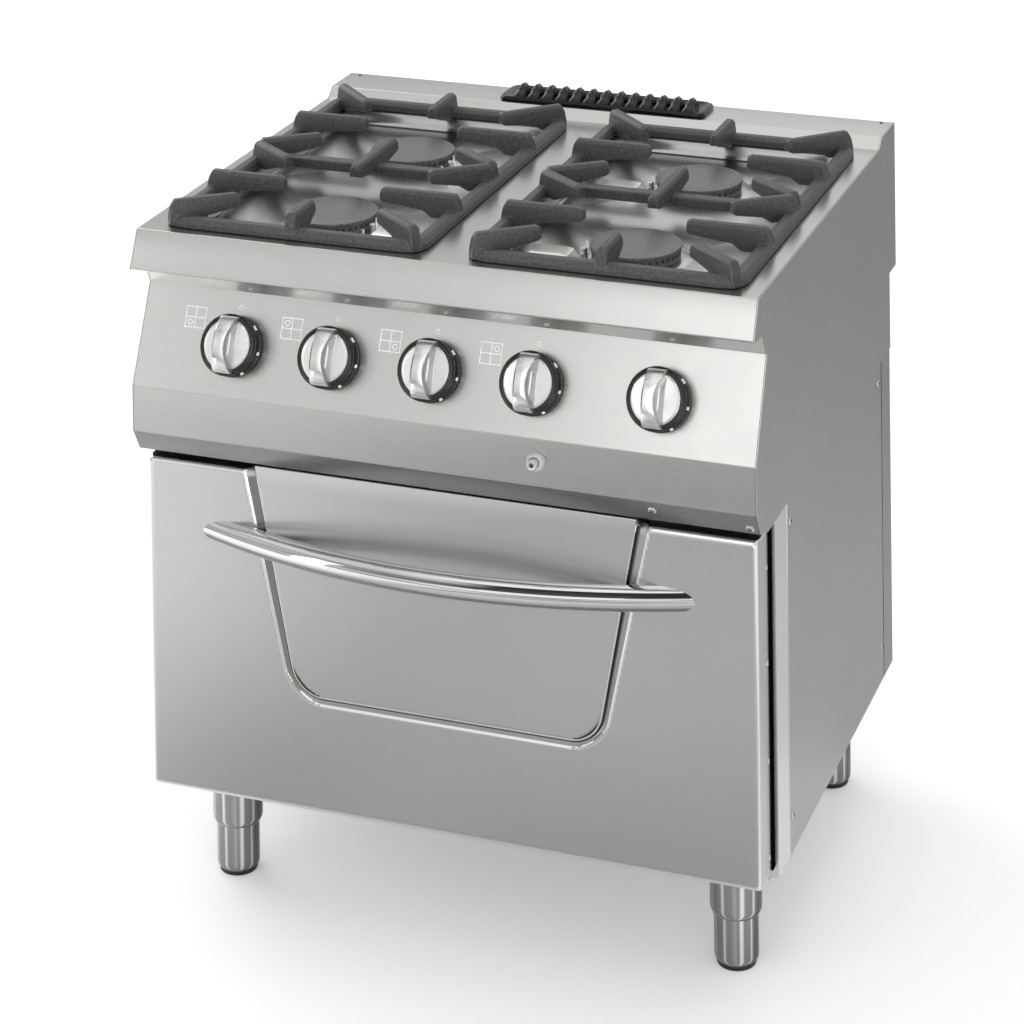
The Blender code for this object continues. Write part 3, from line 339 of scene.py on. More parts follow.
STEEL = (0.640, 0.632, 0.617)
M = {
    "front": steel("steel_front", (0.590, 0.586, 0.576), 0.29, "X", grain=0.05, aniso=0.4, bump=0.012),
    # the low slope: a darker copy of the front steel, painted shade
    "front_low_shaded": steel("steel_front_low_painted_shade", (0.295, 0.292, 0.286), 0.25, "X", grain=0.05, aniso=0.3, bump=0.006),
    # the hob top: a slightly darker copy of the front steel, painted shade
    "top": steel("steel_top", (0.56, 0.555, 0.548), 0.24, "X", grain=0.03, aniso=0.2, bump=0.004, blotch=0.03, vary=0.01),
    "door": steel("steel_door", (0.695, 0.693, 0.689), 0.28, "X", grain=0.004, aniso=0.0, bump=0.0, line=0.6, vary=0.004, blotch=0.06),
    # bright bead steel: a painted highlight, also on the door's rolled edges and the casing seams; the slope and valley
    # copies are painted shade
    "bead": steel("steel_bead_painted_highlight", (0.93, 0.93, 0.92), 0.24, "X", grain=0.02, aniso=0.0, bump=0.005, line=1.6),
    "bead_slope_painted_shade": steel("steel_bead_slope_painted_shade", (0.36, 0.36, 0.355), 0.30, "X", grain=0.02, aniso=0.0, bump=0.005, line=1.6),
    "bead_valley_painted_shade": steel("steel_bead_valley_painted_shade", (0.10, 0.10, 0.10), 0.35, "X", grain=0.02, aniso=0.0, bump=0.005, line=1.6),
    "side": steel("steel_side", (0.56, 0.56, 0.575), 0.40, "Y", grain=0.02, aniso=0.2, bump=0.01, line=1.6, vary=0.02, blotch=0.08),
    "post": steel("steel_post", (0.93, 0.93, 0.92), 0.36, "Z", grain=0.04, aniso=0.2, bump=0.02, line=1.4),
    "leg": turned_leg("steel_leg"),
    "screw": steel("steel_screw", (0.78, 0.78, 0.78), 0.20, "X", grain=0.05, aniso=0.0, bump=0.02),
    # the band under the fascia top: a lighter copy of the steel with a faint glow, painted light
    "strip": lifted(steel("steel_strip", (0.84, 0.83, 0.81), 0.17, "X", grain=0.05, aniso=0.2, bump=0.02), 0.10),
    "support": cast("support_casting", (0.066, 0.0665, 0.069), 0.46, 1.0, worn_and_highlit_tone=(0.26, 0.26, 0.27), wear_and_highlight=0.8),
    "burner": cast("burner_casting", (0.118, 0.119, 0.124), 0.40, 0.30, worn_and_highlit_tone=(0.22, 0.22, 0.225), wear_and_highlight=0.6),
    "grille": cast("grille_casting", (0.004, 0.004, 0.0045), 0.16, 0.15, worn_and_highlit_tone=(0.02, 0.02, 0.02), wear_and_highlight=0.4),
    "chrome": tube_chrome("chrome_plate", (0.94, 0.94, 0.95), 0.04),
    "wire": plated("shelf_plate", (0.75, 0.75, 0.76), 0.16),
    "pressed": steel("steel_pilot_plate", (0.86, 0.855, 0.84), 0.42, "X", grain=0.03, aniso=0.1, bump=0.02),
    "black": plastic("knob_black", (0.012, 0.012, 0.013), 0.26),
    "collar": plastic("collar_clear", (0.60, 0.60, 0.60), 0.22, bump=0.01),
    # black with no gloss for deep gaps: painted shade
    "seal": dull(plastic("gap_black_painted_shade", (0.003, 0.003, 0.003), 0.9)),
    # matt black, also used as painted shade in the ports, screw recesses and under the castings
    "matt_black": plastic("matt_black_and_shade", (0.02, 0.02, 0.021), 0.5),
    "silver": plated("knob_silver", (0.80, 0.80, 0.795), 0.20, 0.02),
    # the grip's scooped wall: a darker copy of the silver, painted shade
    "silver_scoop_shaded": plated("knob_scoop_painted_shade", (0.66, 0.66, 0.66), 0.30, 0.02),
    "silver_face": plated("knob_face", (0.80, 0.80, 0.79), 0.30, 0.03),
    "print": ink_white("white_print", 0.22),
    "enamel": enamel("oven_enamel", (0.020, 0.020, 0.024)),
    "wool": fibre("mineral_wool", (0.55, 0.50, 0.38)),
    "rope": fibre("gasket_rope", (0.16, 0.155, 0.15), 500.0),
    "brass": plated("tap_brass", (0.66, 0.50, 0.24), 0.26, 0.05),
    "zinc": plated("zinc_bright", (0.66, 0.66, 0.67), 0.30, 0.05),
    "tin": steel("aluminised_sheet", (0.50, 0.51, 0.52), 0.45, "X", grain=0.06, aniso=0.0),
}

# ================================================================ geometry


def shade(obj, angle=35):
    obj.data.shade_smooth()
    obj.data.set_sharp_from_angle(angle=math.radians(angle))
    return obj


def make(name, verts, faces, mat, body="cabinet", smooth=35):
    mesh = bpy.data.meshes.new(name)
    mesh.from_pydata([tuple(v) for v in verts], [], faces)
    mesh.materials.append(M[mat])
    obj = bpy.data.objects.new(name, mesh)
    bpy.context.scene.collection.objects.link(obj)
    if smooth:
        shade(obj, smooth)
    if body:
        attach(obj, body)
    return obj


def from_bm(name, bm, mat, body="cabinet", smooth=35, recalc=True):
    if recalc:
        bmesh.ops.recalc_face_normals(bm, faces=bm.faces)
    mesh = bpy.data.meshes.new(name)
    bm.to_mesh(mesh)
    bm.free()
    for one in (mat if isinstance(mat, (list, tuple)) else [mat]):
        mesh.materials.append(M[one])
    obj = bpy.data.objects.new(name, mesh)
    bpy.context.scene.collection.objects.link(obj)
    if smooth:
        shade(obj, smooth)
    if body:
        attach(obj, body)
    return obj


def apply(obj):
    """The object with its modifiers made part of its mesh."""
    bpy.context.view_layer.update()
    graph = bpy.context.evaluated_depsgraph_get()
    mesh = bpy.data.meshes.new_from_object(obj.evaluated_get(graph))
    obj.modifiers.clear()
    obj.data = mesh
    return obj


def arc_fillet(points, radius, steps=6, closed=False):
    """A 2D line with each corner rounded. radius is one number or one for each point."""
    out = []
    count = len(points)
    for i, p in enumerate(points):
        r = radius[i] if isinstance(radius, (list, tuple)) else radius
        if r <= 0 or (not closed and i in (0, count - 1)):
            out.append(tuple(p))
            continue
        here, prev, nxt = Vector(p), Vector(points[i - 1]), Vector(points[(i + 1) % count])
        a, b = (prev - here), (nxt - here)
        la, lb = a.length, b.length
        a.normalize(); b.normalize()
        half = math.acos(max(-1, min(1, a.dot(b)))) / 2
        if half > math.radians(89.5):
            out.append(tuple(p))
            continue
        reach = min(r / math.tan(half), la * 0.48, lb * 0.48)
        rr = reach * math.tan(half)
        centre = here + (a + b).normalized() * (rr / math.sin(half))
        first, last = here + a * reach, here + b * reach
        a0 = math.atan2(first.y - centre.y, first.x - centre.x)
        a1 = math.atan2(last.y - centre.y, last.x - centre.x)
        turn = (a1 - a0 + math.pi) % (2 * math.pi) - math.pi
        for k in range(steps + 1):
            t = a0 + turn * k / steps
            out.append((centre.x + rr * math.cos(t), centre.y + rr * math.sin(t)))
    return out


def offset_line(points, distance):
    out = []
    for i, point in enumerate(points):
        here = Vector(point)
        before = (here - Vector(points[i - 1])).normalized() if i else None
        after = (Vector(points[i + 1]) - here).normalized() if i < len(points) - 1 else None
        sides = [Vector((d.y, -d.x)) for d in (before, after) if d is not None and d.length > 0.5]
        side = sum(sides, Vector((0, 0)))
        side.normalize()
        out.append(tuple(here + side * (distance / max(0.3, side.dot(sides[0])))))
    return out


def bent_sheet(name, line, thickness, x0, x1, mat, body="cabinet", edge=0.0004, smooth=30, columns=1):
    """A folded sheet: a (y, z) line in body coordinates thickened to its right and drawn along X, its ends closed flat.
    """
    back = offset_line(line, thickness)
    loop = list(line) + list(reversed(back))
    bm = bmesh.new()
    xs = [x0 + (x1 - x0) * k / columns for k in range(columns + 1)]
    rings = [[bm.verts.new((x, y + SY, z)) for y, z in loop] for x in xs]
    count, n = len(loop), len(line)
    for a, b in zip(rings, rings[1:]):
        for k in range(count):
            bm.faces.new((a[k], a[(k + 1) % count], b[(k + 1) % count], b[k]))
    for ring, flip in ((rings[0], False), (rings[-1], True)):
        for k in range(n - 1):
            quad = [ring[k], ring[count - 1 - k], ring[count - 2 - k], ring[k + 1]]
            bm.faces.new(quad if flip else list(reversed(quad)))
    return from_bm(name, bm, mat, body, smooth)


def lathe(name, profile, mat, matrix=None, body="cabinet", segs=64, smooth=30, radius=0.0, steps=3, mats=None):
    """A profile of (radius, height) turned round Z. mats gives a material index for each profile span."""
    if radius:
        profile = arc_fillet(profile, radius, steps)
    bm = bmesh.new()
    rings = []
    for r, h in profile:
        if r < 1e-7:
            rings.append([bm.verts.new((0, 0, h))])
        else:
            rings.append([bm.verts.new((r * math.cos(2 * math.pi * k / segs), r * math.sin(2 * math.pi * k / segs), h))
                          for k in range(segs)])
    for i, (a, b) in enumerate(zip(rings, rings[1:])):
        for k in range(segs):
            k2 = (k + 1) % segs
            if len(a) == 1 and len(b) == 1:
                continue
            if len(a) == 1:
                f = bm.faces.new((a[0], b[k], b[k2]))
            elif len(b) == 1:
                f = bm.faces.new((a[k], b[0], a[k2]))
            else:
                f = bm.faces.new((a[k], b[k], b[k2], a[k2]))
            if mats:
                f.material_index = mats(0.5 * (profile[i][0] + profile[i + 1][0]), 0.5 * (profile[i][1] + profile[i + 1][1]))
    if len(rings[0]) > 1 and len(rings[-1]) > 1:
        a, b = rings[-1], rings[0]
        for k in range(segs):
            k2 = (k + 1) % segs
            bm.faces.new((a[k], b[k], b[k2], a[k2]))
    if matrix is not None:
        bmesh.ops.transform(bm, matrix=matrix, verts=bm.verts)
    return from_bm(name, bm, mat, body, smooth)


def add_box(bm, low, high, matrix=None, bevel=0.0, segs=2, mat=0):
    made = bmesh.ops.create_cube(bm, size=1.0)["verts"]
    size = [h - l for l, h in zip(low, high)]
    bmesh.ops.scale(bm, vec=size, verts=made)
    bmesh.ops.translate(bm, vec=[(l + h) / 2 for l, h in zip(low, high)], verts=made)
    faces = set(f for v in made for f in v.link_faces)
    for f in faces:
        f.material_index = mat
    if bevel:
        edges = list(set(e for v in made for e in v.link_edges))
        res = bmesh.ops.bevel(bm, geom=edges + made, offset=bevel, segments=segs, affect="EDGES", profile=0.5)
        made = list(set(v for f in res["faces"] for v in f.verts) | set(v for v in made if v.is_valid))
        for v in made:
            for f in v.link_faces:
                f.material_index = mat
    if matrix is not None:
        bmesh.ops.transform(bm, matrix=matrix, verts=made)
    return made


def add_prism(bm, outline, low, high, matrix=None, mat=0):
    """A convex or simple outline in XY between two heights."""
    a = [bm.verts.new((x, y, low)) for x, y in outline]
    b = [bm.verts.new((x, y, high)) for x, y in outline]
    n = len(outline)
    faces = [bm.faces.new((a[k], a[(k + 1) % n], b[(k + 1) % n], b[k])) for k in range(n)]
    faces.append(bm.faces.new(list(reversed(a))))
    faces.append(bm.faces.new(b))
    for f in faces:
        f.material_index = mat
    if matrix is not None:
        bmesh.ops.transform(bm, matrix=matrix, verts=a + b)
    return a + b


def panel_matrix(x, out=0.0, up=0.060):
    """The sloping panel's frame at a place on it: Z outwards, Y up the slope."""
    foot = (x, BREAK_Y + SLOPE[0] * up + SY, BREAK_Z + SLOPE[1] * up)
    turn = Matrix(((1, 0, 0, 0), (0, SLOPE[0], -SLOPE[1], 0), (0, SLOPE[1], SLOPE[0], 0), (0, 0, 0, 1)))
    return Matrix.Translation(foot) @ turn @ Matrix.Translation((0, 0, out))


# ----------------------------------------------------------------- worktop
def smoothstep(t):
    t = np.clip(t, 0.0, 1.0)
    return t * t * (3 - 2 * t)


def well_depth(x, y):
    """How far the worktop is pressed down at each point, body coordinates."""
    depth = np.zeros_like(x)
    for side in (-1, 1):
        cx = side * HOB_X
        x0, x1, y0, y1, r = cx - 0.163, cx + 0.163, -0.300, 0.233, 0.030
        mx, my, hx, hy = (x0 + x1) / 2, (y0 + y1) / 2, (x1 - x0) / 2 - r, (y1 - y0) / 2 - r
        qx, qy = np.abs(x - mx) - hx, np.abs(y - my) - hy
        inside = r - (np.hypot(np.maximum(qx, 0), np.maximum(qy, 0)) + np.minimum(np.maximum(qx, qy), 0))
        wall = smoothstep(inside / 0.013)
        # each burner's zone falls from its four corners to the burner in flat facets that meet in creases
        fall = np.zeros_like(x)
        for row, by in BURNER_Y.items():
            half_y = 0.1320
            ux, uy = np.abs(x - cx) / 0.150, np.abs(y - by) / half_y
            crease = np.maximum(ux, uy)
            zone = (np.abs(y - by) <= 0.1338)
            dish = 0.0085 * (1 - np.clip(crease, 0, 1)) ** 1.5
            dist = np.hypot(x - cx, y - by)
            # a round raised collar carries the burner
            collar = smoothstep((0.070 - dist) / 0.010)
            dish = dish * (1 - collar) + 0.0022 * collar
            fall = np.where(zone, dish, fall)
        depth = np.where(inside > 0, wall * (0.0190 + fall), depth)
    return depth


def worktop():
    line = [(-0.3105, 0.8015), (-0.350, 0.805), (-0.329, WORKTOP_Z), (0.262, WORKTOP_Z), (0.279, LEDGE_Z), (0.350, LEDGE_Z),
            (0.350, 0.848)]
    soft = arc_fillet(line, [0, 0.0022, 0.0022, 0.004, 0.004, 0.0022, 0], 5)
    rows = []
    for a, b in zip(soft, soft[1:]):
        rows.append(a)
        gap = math.dist(a, b)
        if abs(a[1] - WORKTOP_Z) < 1e-6 and abs(b[1] - WORKTOP_Z) < 1e-6 and gap > 0.1:
            count = int(gap / 0.0026)
            rows += [(a[0] + (b[0] - a[0]) * k / count, WORKTOP_Z) for k in range(1, count)]
    rows.append(soft[-1])
    half = 0.3982
    xs = np.linspace(-half, half, 307)
    ys, zs = np.array([r[0] for r in rows]), np.array([r[1] for r in rows])
    gx, gy = np.meshgrid(xs, ys)
    flat = np.isclose(zs, WORKTOP_Z)[:, None] & np.ones_like(gx, bool)
    depth = np.where(flat, well_depth(gx, gy), 0.0)
    gz = zs[:, None] - depth
    verts = np.stack([gx, gy + SY, gz], -1).reshape(-1, 3)
    w, faces = len(xs), []
    for i in range(len(rows) - 1):
        for j in range(w - 1):
            cx, cy = (xs[j] + xs[j + 1]) / 2, (ys[i] + ys[i + 1]) / 2
            if abs(zs[i] - WORKTOP_Z) < 1e-6 and any(math.hypot(abs(cx) - HOB_X, cy - by) < 0.0475 for by in BURNER_Y.values()):
                continue
            if zs[i] > LEDGE_Z - 1e-4 and zs[i + 1] > LEDGE_Z - 1e-4 and abs(cx) < 0.126 and 0.292 < cy < 0.331:
                continue
            a = i * w + j
            faces.append((a, a + 1, a + w + 1, a + w))
    obj = make("worktop_sheet", verts, faces, "top", smooth=40)
    skin = obj.modifiers.new("sheet", "SOLIDIFY")
    skin.thickness = 0.0015
    skin.offset = -1.0
    skin.use_even_offset = False
    apply(obj)
    shade(obj, 40)
    obj.data.materials.append(M["front"])
    # the fascia lip and rear ledge take the lighter front steel, the hob the darker top steel: lit and shaded copies of
    # one steel
    for p in obj.data.polygons:
        if p.center.y - SY < -0.3285 or p.center.y - SY > 0.2625:
            p.material_index = 1
    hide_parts("worktop")
    return obj


worktop()

# ----------------------------------------------------------- control panel
panel_line = arc_fillet([(-0.3098, 0.7994), PANEL_TOP, (BREAK_Y, BREAK_Z), (BREAK_Y, 0.604), (-0.329, 0.575), (-0.3125, 0.572),
                         (-0.3125, 0.590)], [0, 0.0015, 0.0045, 0.0035, 0.0035, 0.0015, 0], 6)
panel = bent_sheet("control_panel_sheet", list(reversed(panel_line)), 0.0015, -0.3982, 0.3982, "front")
panel.data.materials.append(M["strip"])
panel.data.materials.append(M["front_low_shaded"])
for p in panel.data.polygons:
    # the band above the slope takes the lighter glowing strip steel: painted light
    if p.center.z > PANEL_TOP[1] + 0.0005:
        p.material_index = 1
    # the low slope under the knobs takes the darker copy: painted shade
    elif p.center.z < 0.6025:
        p.material_index = 2
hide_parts("control_panel")


def strokes(bm, lines, width, low=0.0, high=0.00030):
    for (ax, ay), (bx, by) in lines:
        d = Vector((bx - ax, by - ay))
        ang = math.atan2(d.y, d.x)
        m = Matrix.Translation(((ax + bx) / 2, (ay + by) / 2, 0)) @ Matrix.Rotation(ang, 4, "Z")
        add_box(bm, (-d.length / 2 - width / 2, -width / 2, low), (d.length / 2 + width / 2, width / 2, high), m)


def ring_mark(bm, cx, cy, r, width, segs=20, low=0.0, high=0.00030):
    rings = []
    for radius, z in ((r - width / 2, low), (r - width / 2, high), (r + width / 2, high), (r + width / 2, low)):
        rings.append([bm.verts.new((cx + radius * math.cos(2 * math.pi * k / segs), cy + radius * math.sin(2 * math.pi * k / segs), z))
                      for k in range(segs)])
    for i in range(4):
        a, b = rings[i], rings[(i + 1) % 4]
        for k in range(segs):
            bm.faces.new((a[k], a[(k + 1) % segs], b[(k + 1) % segs], b[k]))


CELL = {"front_left": (-1, -1), "rear_left": (-1, 1), "front_right": (1, -1), "rear_right": (1, 1)}
for label, kx in KNOB_X.items():
    bm = bmesh.new()
    ring_mark(bm, kx, 0.106 - 0.060, 0.0026, 0.0009)
    if label in CELL:
        cx, cy = kx - 0.059, 0.0885 - 0.060
        w, h, t = 0.0132, 0.0122, 0.0010
        strokes(bm, [((cx - w, cy - h), (cx + w, cy - h)), ((cx - w, cy + h), (cx + w, cy + h)), ((cx - w, cy - h), (cx - w, cy + h)),
                     ((cx + w, cy - h), (cx + w, cy + h)), ((cx, cy - h), (cx, cy + h)), ((cx - w, cy), (cx + w, cy))], t)
        sx, sy = CELL[label]
        ring_mark(bm, cx + sx * w / 2, cy + sy * h / 2, 0.0030, 0.0010)
    bmesh.ops.transform(bm, matrix=panel_matrix(0.0, 0.00005), verts=bm.verts)
    ink = from_bm("print_" + label, bm, "print", smooth=None)

# ------------------------------------------------------------------- knobs
def knob(label, kx):
    """A knob of black skirt, silver disc and an arched grip with a scooped side."""
    place = panel_matrix(kx)
    body = "knob_" + label
    skirt_line = [(0, 0.0244), (0.0303, 0.0244), (0.0303, 0.0262), (0.0312, 0.0268), (0.0345, 0.0262), (0.0362, 0.0245), (0.0365, 0.0225),
                  (0.0352, 0.0202), (0.0335, 0.0180), (0.0328, 0.0150), (0.0332, 0.0118), (0.0348, 0.0095), (0.0363, 0.0082), (0.0365, 0.0062),
                  (0.0360, 0.0048), (0.0330, 0.0048), (0.0042, 0.0048), (0.0042, 0.0200), (0, 0.0200)]
    skirt = lathe("knob_skirt_" + label, skirt_line, "black", place, body, 72, 40)
    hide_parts("knob_" + label)
    # silver disc, very slightly dished, with its bright rim
    disc = [(0, 0.0262), (0.0270, 0.0262), (0.0288, 0.0264), (0.0297, 0.0270), (0.0301, 0.0268), (0.0301, 0.0245), (0, 0.0245)]
    lathe("knob_disc_" + label, disc, "silver_face", place, body, 72, 30)
    # arched grip: a wide level-topped bar, its right wall scooped out and sloping to the disc
    bm = bmesh.new()
    half = 0.0335
    stations, rings = 41, []
    for k in range(stations):
        v = -1 + 2 * k / (stations - 1)
        y = half * math.sin(v * math.pi / 2)
        t = y / half
        full = 1 - t * t
        reach = math.sqrt(max(0.0, 0.0347 ** 2 - y * y))
        top = 0.0266 + 0.0146 * full ** 0.42
        left = -min(0.0123 + 0.0024 * full, reach)
        right_top = min(0.0128 - 0.0118 * full, reach)
        right_low = min(0.0128 - 0.0022 * full, reach)
        base = 0.0225 if abs(t) > 0.90 else 0.0258
        rise = top - 0.0262
        ring = [(left, base), (left + 0.0002, 0.0262 + rise * 0.50), (left + 0.0010, 0.0262 + rise * 0.86), (left + 0.0030, top - 0.0003),
                (left * 0.30, top), (right_top - 0.0022, top - 0.0001), (right_top - 0.0004, top - 0.0007 * full), (right_top, top - 0.0022 * full - 0.0002),
                (right_top * 0.56 + right_low * 0.44 - 0.0014 * full, 0.0262 + rise * 0.50), (right_low - 0.0004 * full, 0.0262 + rise * 0.16), (right_low, base)]
        rings.append([bm.verts.new((x, y, z)) for x, z in ring])
    n = len(rings[0])
    for a, b in zip(rings, rings[1:]):
        for j in range(n):
            f = bm.faces.new((a[j], a[(j + 1) % n], b[(j + 1) % n], b[j]))
            # the scooped right wall takes the darker silver: painted shade
            f.material_index = int(j >= 7)
    bm.faces.new(list(reversed(rings[0])))
    bm.faces.new(rings[-1])
    bmesh.ops.transform(bm, matrix=place, verts=bm.verts)
    from_bm("knob_grip_" + label, bm, ["silver", "silver_scoop_shaded"], body, 32)
    # printed index line in the scoop and marks on the skirt
    bm = bmesh.new()
    wall = Matrix.Translation((0.0052, 0, 0.0322)) @ Matrix.Rotation(math.radians(55), 4, "Y")
    add_box(bm, (-0.0010, -0.0170, -0.0004), (0.0008, 0.0170, 0.0007), wall, 0.0003)
    for angle, long in ((48, 0.0030), (99, 0.0019), (149, 0.0019)):
        a = math.radians(angle)
        m = Matrix.Rotation(-a, 4, "Z") @ Matrix.Translation((0, 0.0358, 0.0086))
        add_box(bm, (-long, -0.0016, -0.0014), (long, 0.0008, 0.0014), m, 0.0003)
    bmesh.ops.transform(bm, matrix=place, verts=bm.verts)
    from_bm("knob_marks_" + label, bm, "print", body, 30)


for label, kx in KNOB_X.items():
    knob(label, kx)

# ---------------------------------------------------------- igniter button
to_front = Matrix.Rotation(math.radians(90), 4, "X")
ign = Matrix.Translation((0.1305, BREAK_Y + SY, 0.6338)) @ to_front
lathe("igniter_push", [(0, 0.0150), (0.0028, 0.0150), (0.0030, 0.0160), (0.0045, 0.0166), (0.0055, 0.0164), (0.0061, 0.0156), (0.0061, 0.0070),
                       (0.0058, 0.0060), (0.0058, 0.0040), (0.0061, 0.0030), (0.0061, -0.0120), (0, -0.0120)], ["silver_face", "support"], ign, "igniter_button",
      40, 30, mats=lambda r, h: int(r < 0.0036 and h > 0.0140))
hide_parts("igniter_button")
lathe("igniter_collar", [(0.0064, 0.0062), (0.0078, 0.0070), (0.0098, 0.0060), (0.0113, 0.0034), (0.0118, 0.0003), (0.0064, 0.0003)],
      "collar", ign, "cabinet", 40, 30)

# ------------------------------------------------------------- pan supports


def finger_mesh(bm, outer, inner, top_w=0.0078, mid_w=0.0142, low_w=0.0170, foot=0.050):
    """A cast bar: slanted outwards at its root, level on top with chamfered edges, its underside rising to the tip."""
    start, end = Vector(outer), Vector(inner)
    length = (end - start).length
    low, top = WORKTOP_Z + 0.0010, TOP_Z
    angle = math.atan2(end.y - start.y, end.x - start.x)
    m = Matrix.Translation((start.x, start.y + SY, 0)) @ Matrix.Rotation(angle, 4, "Z")
    stations = [(0.0, 0.0, low, 0.80), (0.004, 0.0, low, 1.0), (foot - 0.012, 0.0, low, 1.0), (foot, 0.0, low + 0.0080, 0.98),
                (length - 0.0050, 0.0, top - 0.0172, 0.90), (length, 0.0025, top - 0.0150, 0.78)]
    rings = []
    for a, drop, z0, wide in stations:
        z1 = top - drop if a > 0.001 else top - 0.0060
        shift = 0.0035 * (a < 0.010)
        ring = [(low_w * wide / 2, z0, 0.0), (low_w * wide / 2 * 0.96, z0 + 0.35 * (z1 - z0), 0.0), (mid_w * wide / 2, z1 - 0.0042, shift * 0.6),
                (top_w * wide / 2, z1, shift)]
        points = [(-w, z, k) for w, z, k in ring] + [(w, z, k) for w, z, k in reversed(ring)]
        rings.append([bm.verts.new(m @ Vector((a + k, w, z))) for w, z, k in points])
    for a, b in zip(rings, rings[1:]):
        n = len(a)
        for k in range(n):
            bm.faces.new((a[k], a[(k + 1) % n], b[(k + 1) % n], b[k]))
    bm.faces.new(list(reversed(rings[0])))
    bm.faces.new(rings[-1])


def rounded_rect(x0, x1, y0, y1, r, steps=6):
    return arc_fillet([(x1, y1), (x0, y1), (x0, y0), (x1, y0)], r, steps, closed=True)


def ring_section(bm, outer, inner, sections):
    """A frame between two outlines of equal count. sections: (share from outer to inner, z)."""
    loops = []
    for share, z in sections:
        loops.append([bm.verts.new((a[0] + (b[0] - a[0]) * share, a[1] + (b[1] - a[1]) * share + SY, z)) for a, b in zip(outer, inner)])
    n, m = len(outer), len(loops)
    for i in range(m):
        a, b = loops[i], loops[(i + 1) % m]
        for k in range(n):
            bm.faces.new((a[k], a[(k + 1) % n], b[(k + 1) % n], b[k]))


def pan_support(label, side):
    cx = side * HOB_X
    x0, x1, y0, y1, bar = cx - 0.175, cx + 0.175, -0.312, 0.245, 0.020
    bm = bmesh.new()
    z0, z1 = WORKTOP_Z + 0.0010, 0.8630
    ring_section(bm, rounded_rect(x0, x1, y0, y1, 0.030), rounded_rect(x0 + bar, x1 - bar, y0 + bar, y1 - bar, 0.016),
                 [(0.0, z0), (0.02, z1 - 0.0060), (0.30, z1), (0.78, z1), (1.0, z1 - 0.0045), (1.0, z0)])
    add_box(bm, (x0 + 0.010, CROSS_Y - 0.009 + SY, z0), (x1 - 0.010, CROSS_Y + 0.009 + SY, z1 + 0.002), None, 0.0025, 2)
    for row, y in BURNER_Y.items():
        outer_y = y0 + 0.001 if row == "front" else y1 - 0.001
        toward = -1 if row == "front" else 1
        finger_mesh(bm, (x0 + 0.001, y), (cx - 0.066, y))
        finger_mesh(bm, (x1 - 0.001, y), (cx + 0.066, y))
        finger_mesh(bm, (cx, outer_y), (cx, y + toward * 0.069))
        for s in (-1, 1):
            finger_mesh(bm, (cx + s * 0.1665, outer_y - toward * 0.0065), (cx + s * 0.097, y + toward * 0.076))
            finger_mesh(bm, (cx + s * 0.1680, CROSS_Y + toward * 0.001), (cx + s * 0.098, y - toward * 0.080))
    # the bridge over the middle bar serves both burners
    rings = []
    for a, z_low, z_top, wide in ((-0.0660, TOP_Z - 0.0150, TOP_Z - 0.0030, 0.80), (-0.0610, TOP_Z - 0.0172, TOP_Z, 0.92),
                                  (-0.0200, WORKTOP_Z + 0.009, TOP_Z, 1.0), (-0.0100, z0, TOP_Z, 1.05), (0.0100, z0, TOP_Z, 1.05),
                                  (0.0200, WORKTOP_Z + 0.009, TOP_Z, 1.0), (0.0610, TOP_Z - 0.0172, TOP_Z, 0.92),
                                  (0.0660, TOP_Z - 0.0150, TOP_Z - 0.0030, 0.80)):
        half = [(0.0088 * wide, z_low), (0.0085 * wide, z_low + 0.35 * (z_top - z_low)), (0.0075 * wide, z_top - 0.0042), (0.0044 * wide, z_top)]
        loop = [(-w, z) for w, z in half] + [(w, z) for w, z in reversed(half)]
        rings.append([bm.verts.new((cx + w, CROSS_Y + a + SY, z)) for w, z in loop])
    for a, b in zip(rings, rings[1:]):
        n = len(a)
        for k in range(n):
            bm.faces.new((a[k], a[(k + 1) % n], b[(k + 1) % n], b[k]))
    bm.faces.new(list(reversed(rings[0])))
    bm.faces.new(rings[-1])
    body = "pan_support_" + label
    obj = from_bm("support_casting_" + label, bm, "support", None, None)
    soften = obj.modifiers.new("cast_edges", "BEVEL")
    soften.width = 0.0012
    soften.segments = 3
    soften.limit_method = "ANGLE"
    soften.angle_limit = math.radians(18)
    soften.harden_normals = False
    apply(obj)
    obj.data.materials.clear()
    obj.data.materials.append(M["support"])
    shade(obj, 60)
    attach(obj, body)
    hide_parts(body)
    # thin black line the casting stands on: painted shadow of the gap under its foot
    bm = bmesh.new()
    ring_section(bm, rounded_rect(x0 + 0.0012, x1 - 0.0012, y0 + 0.0012, y1 - 0.0012, 0.029),
                 rounded_rect(x0 + 0.012, x1 - 0.012, y0 + 0.012, y1 - 0.012, 0.020),
                 [(0.0, WORKTOP_Z + 0.0003), (0.0, WORKTOP_Z + 0.0011), (1.0, WORKTOP_Z + 0.0011), (1.0, WORKTOP_Z + 0.0003)])
    from_bm("support_foot_shadow_line_" + label, bm, "matt_black", body, 30)


pan_support("left", -1)
pan_support("right", 1)

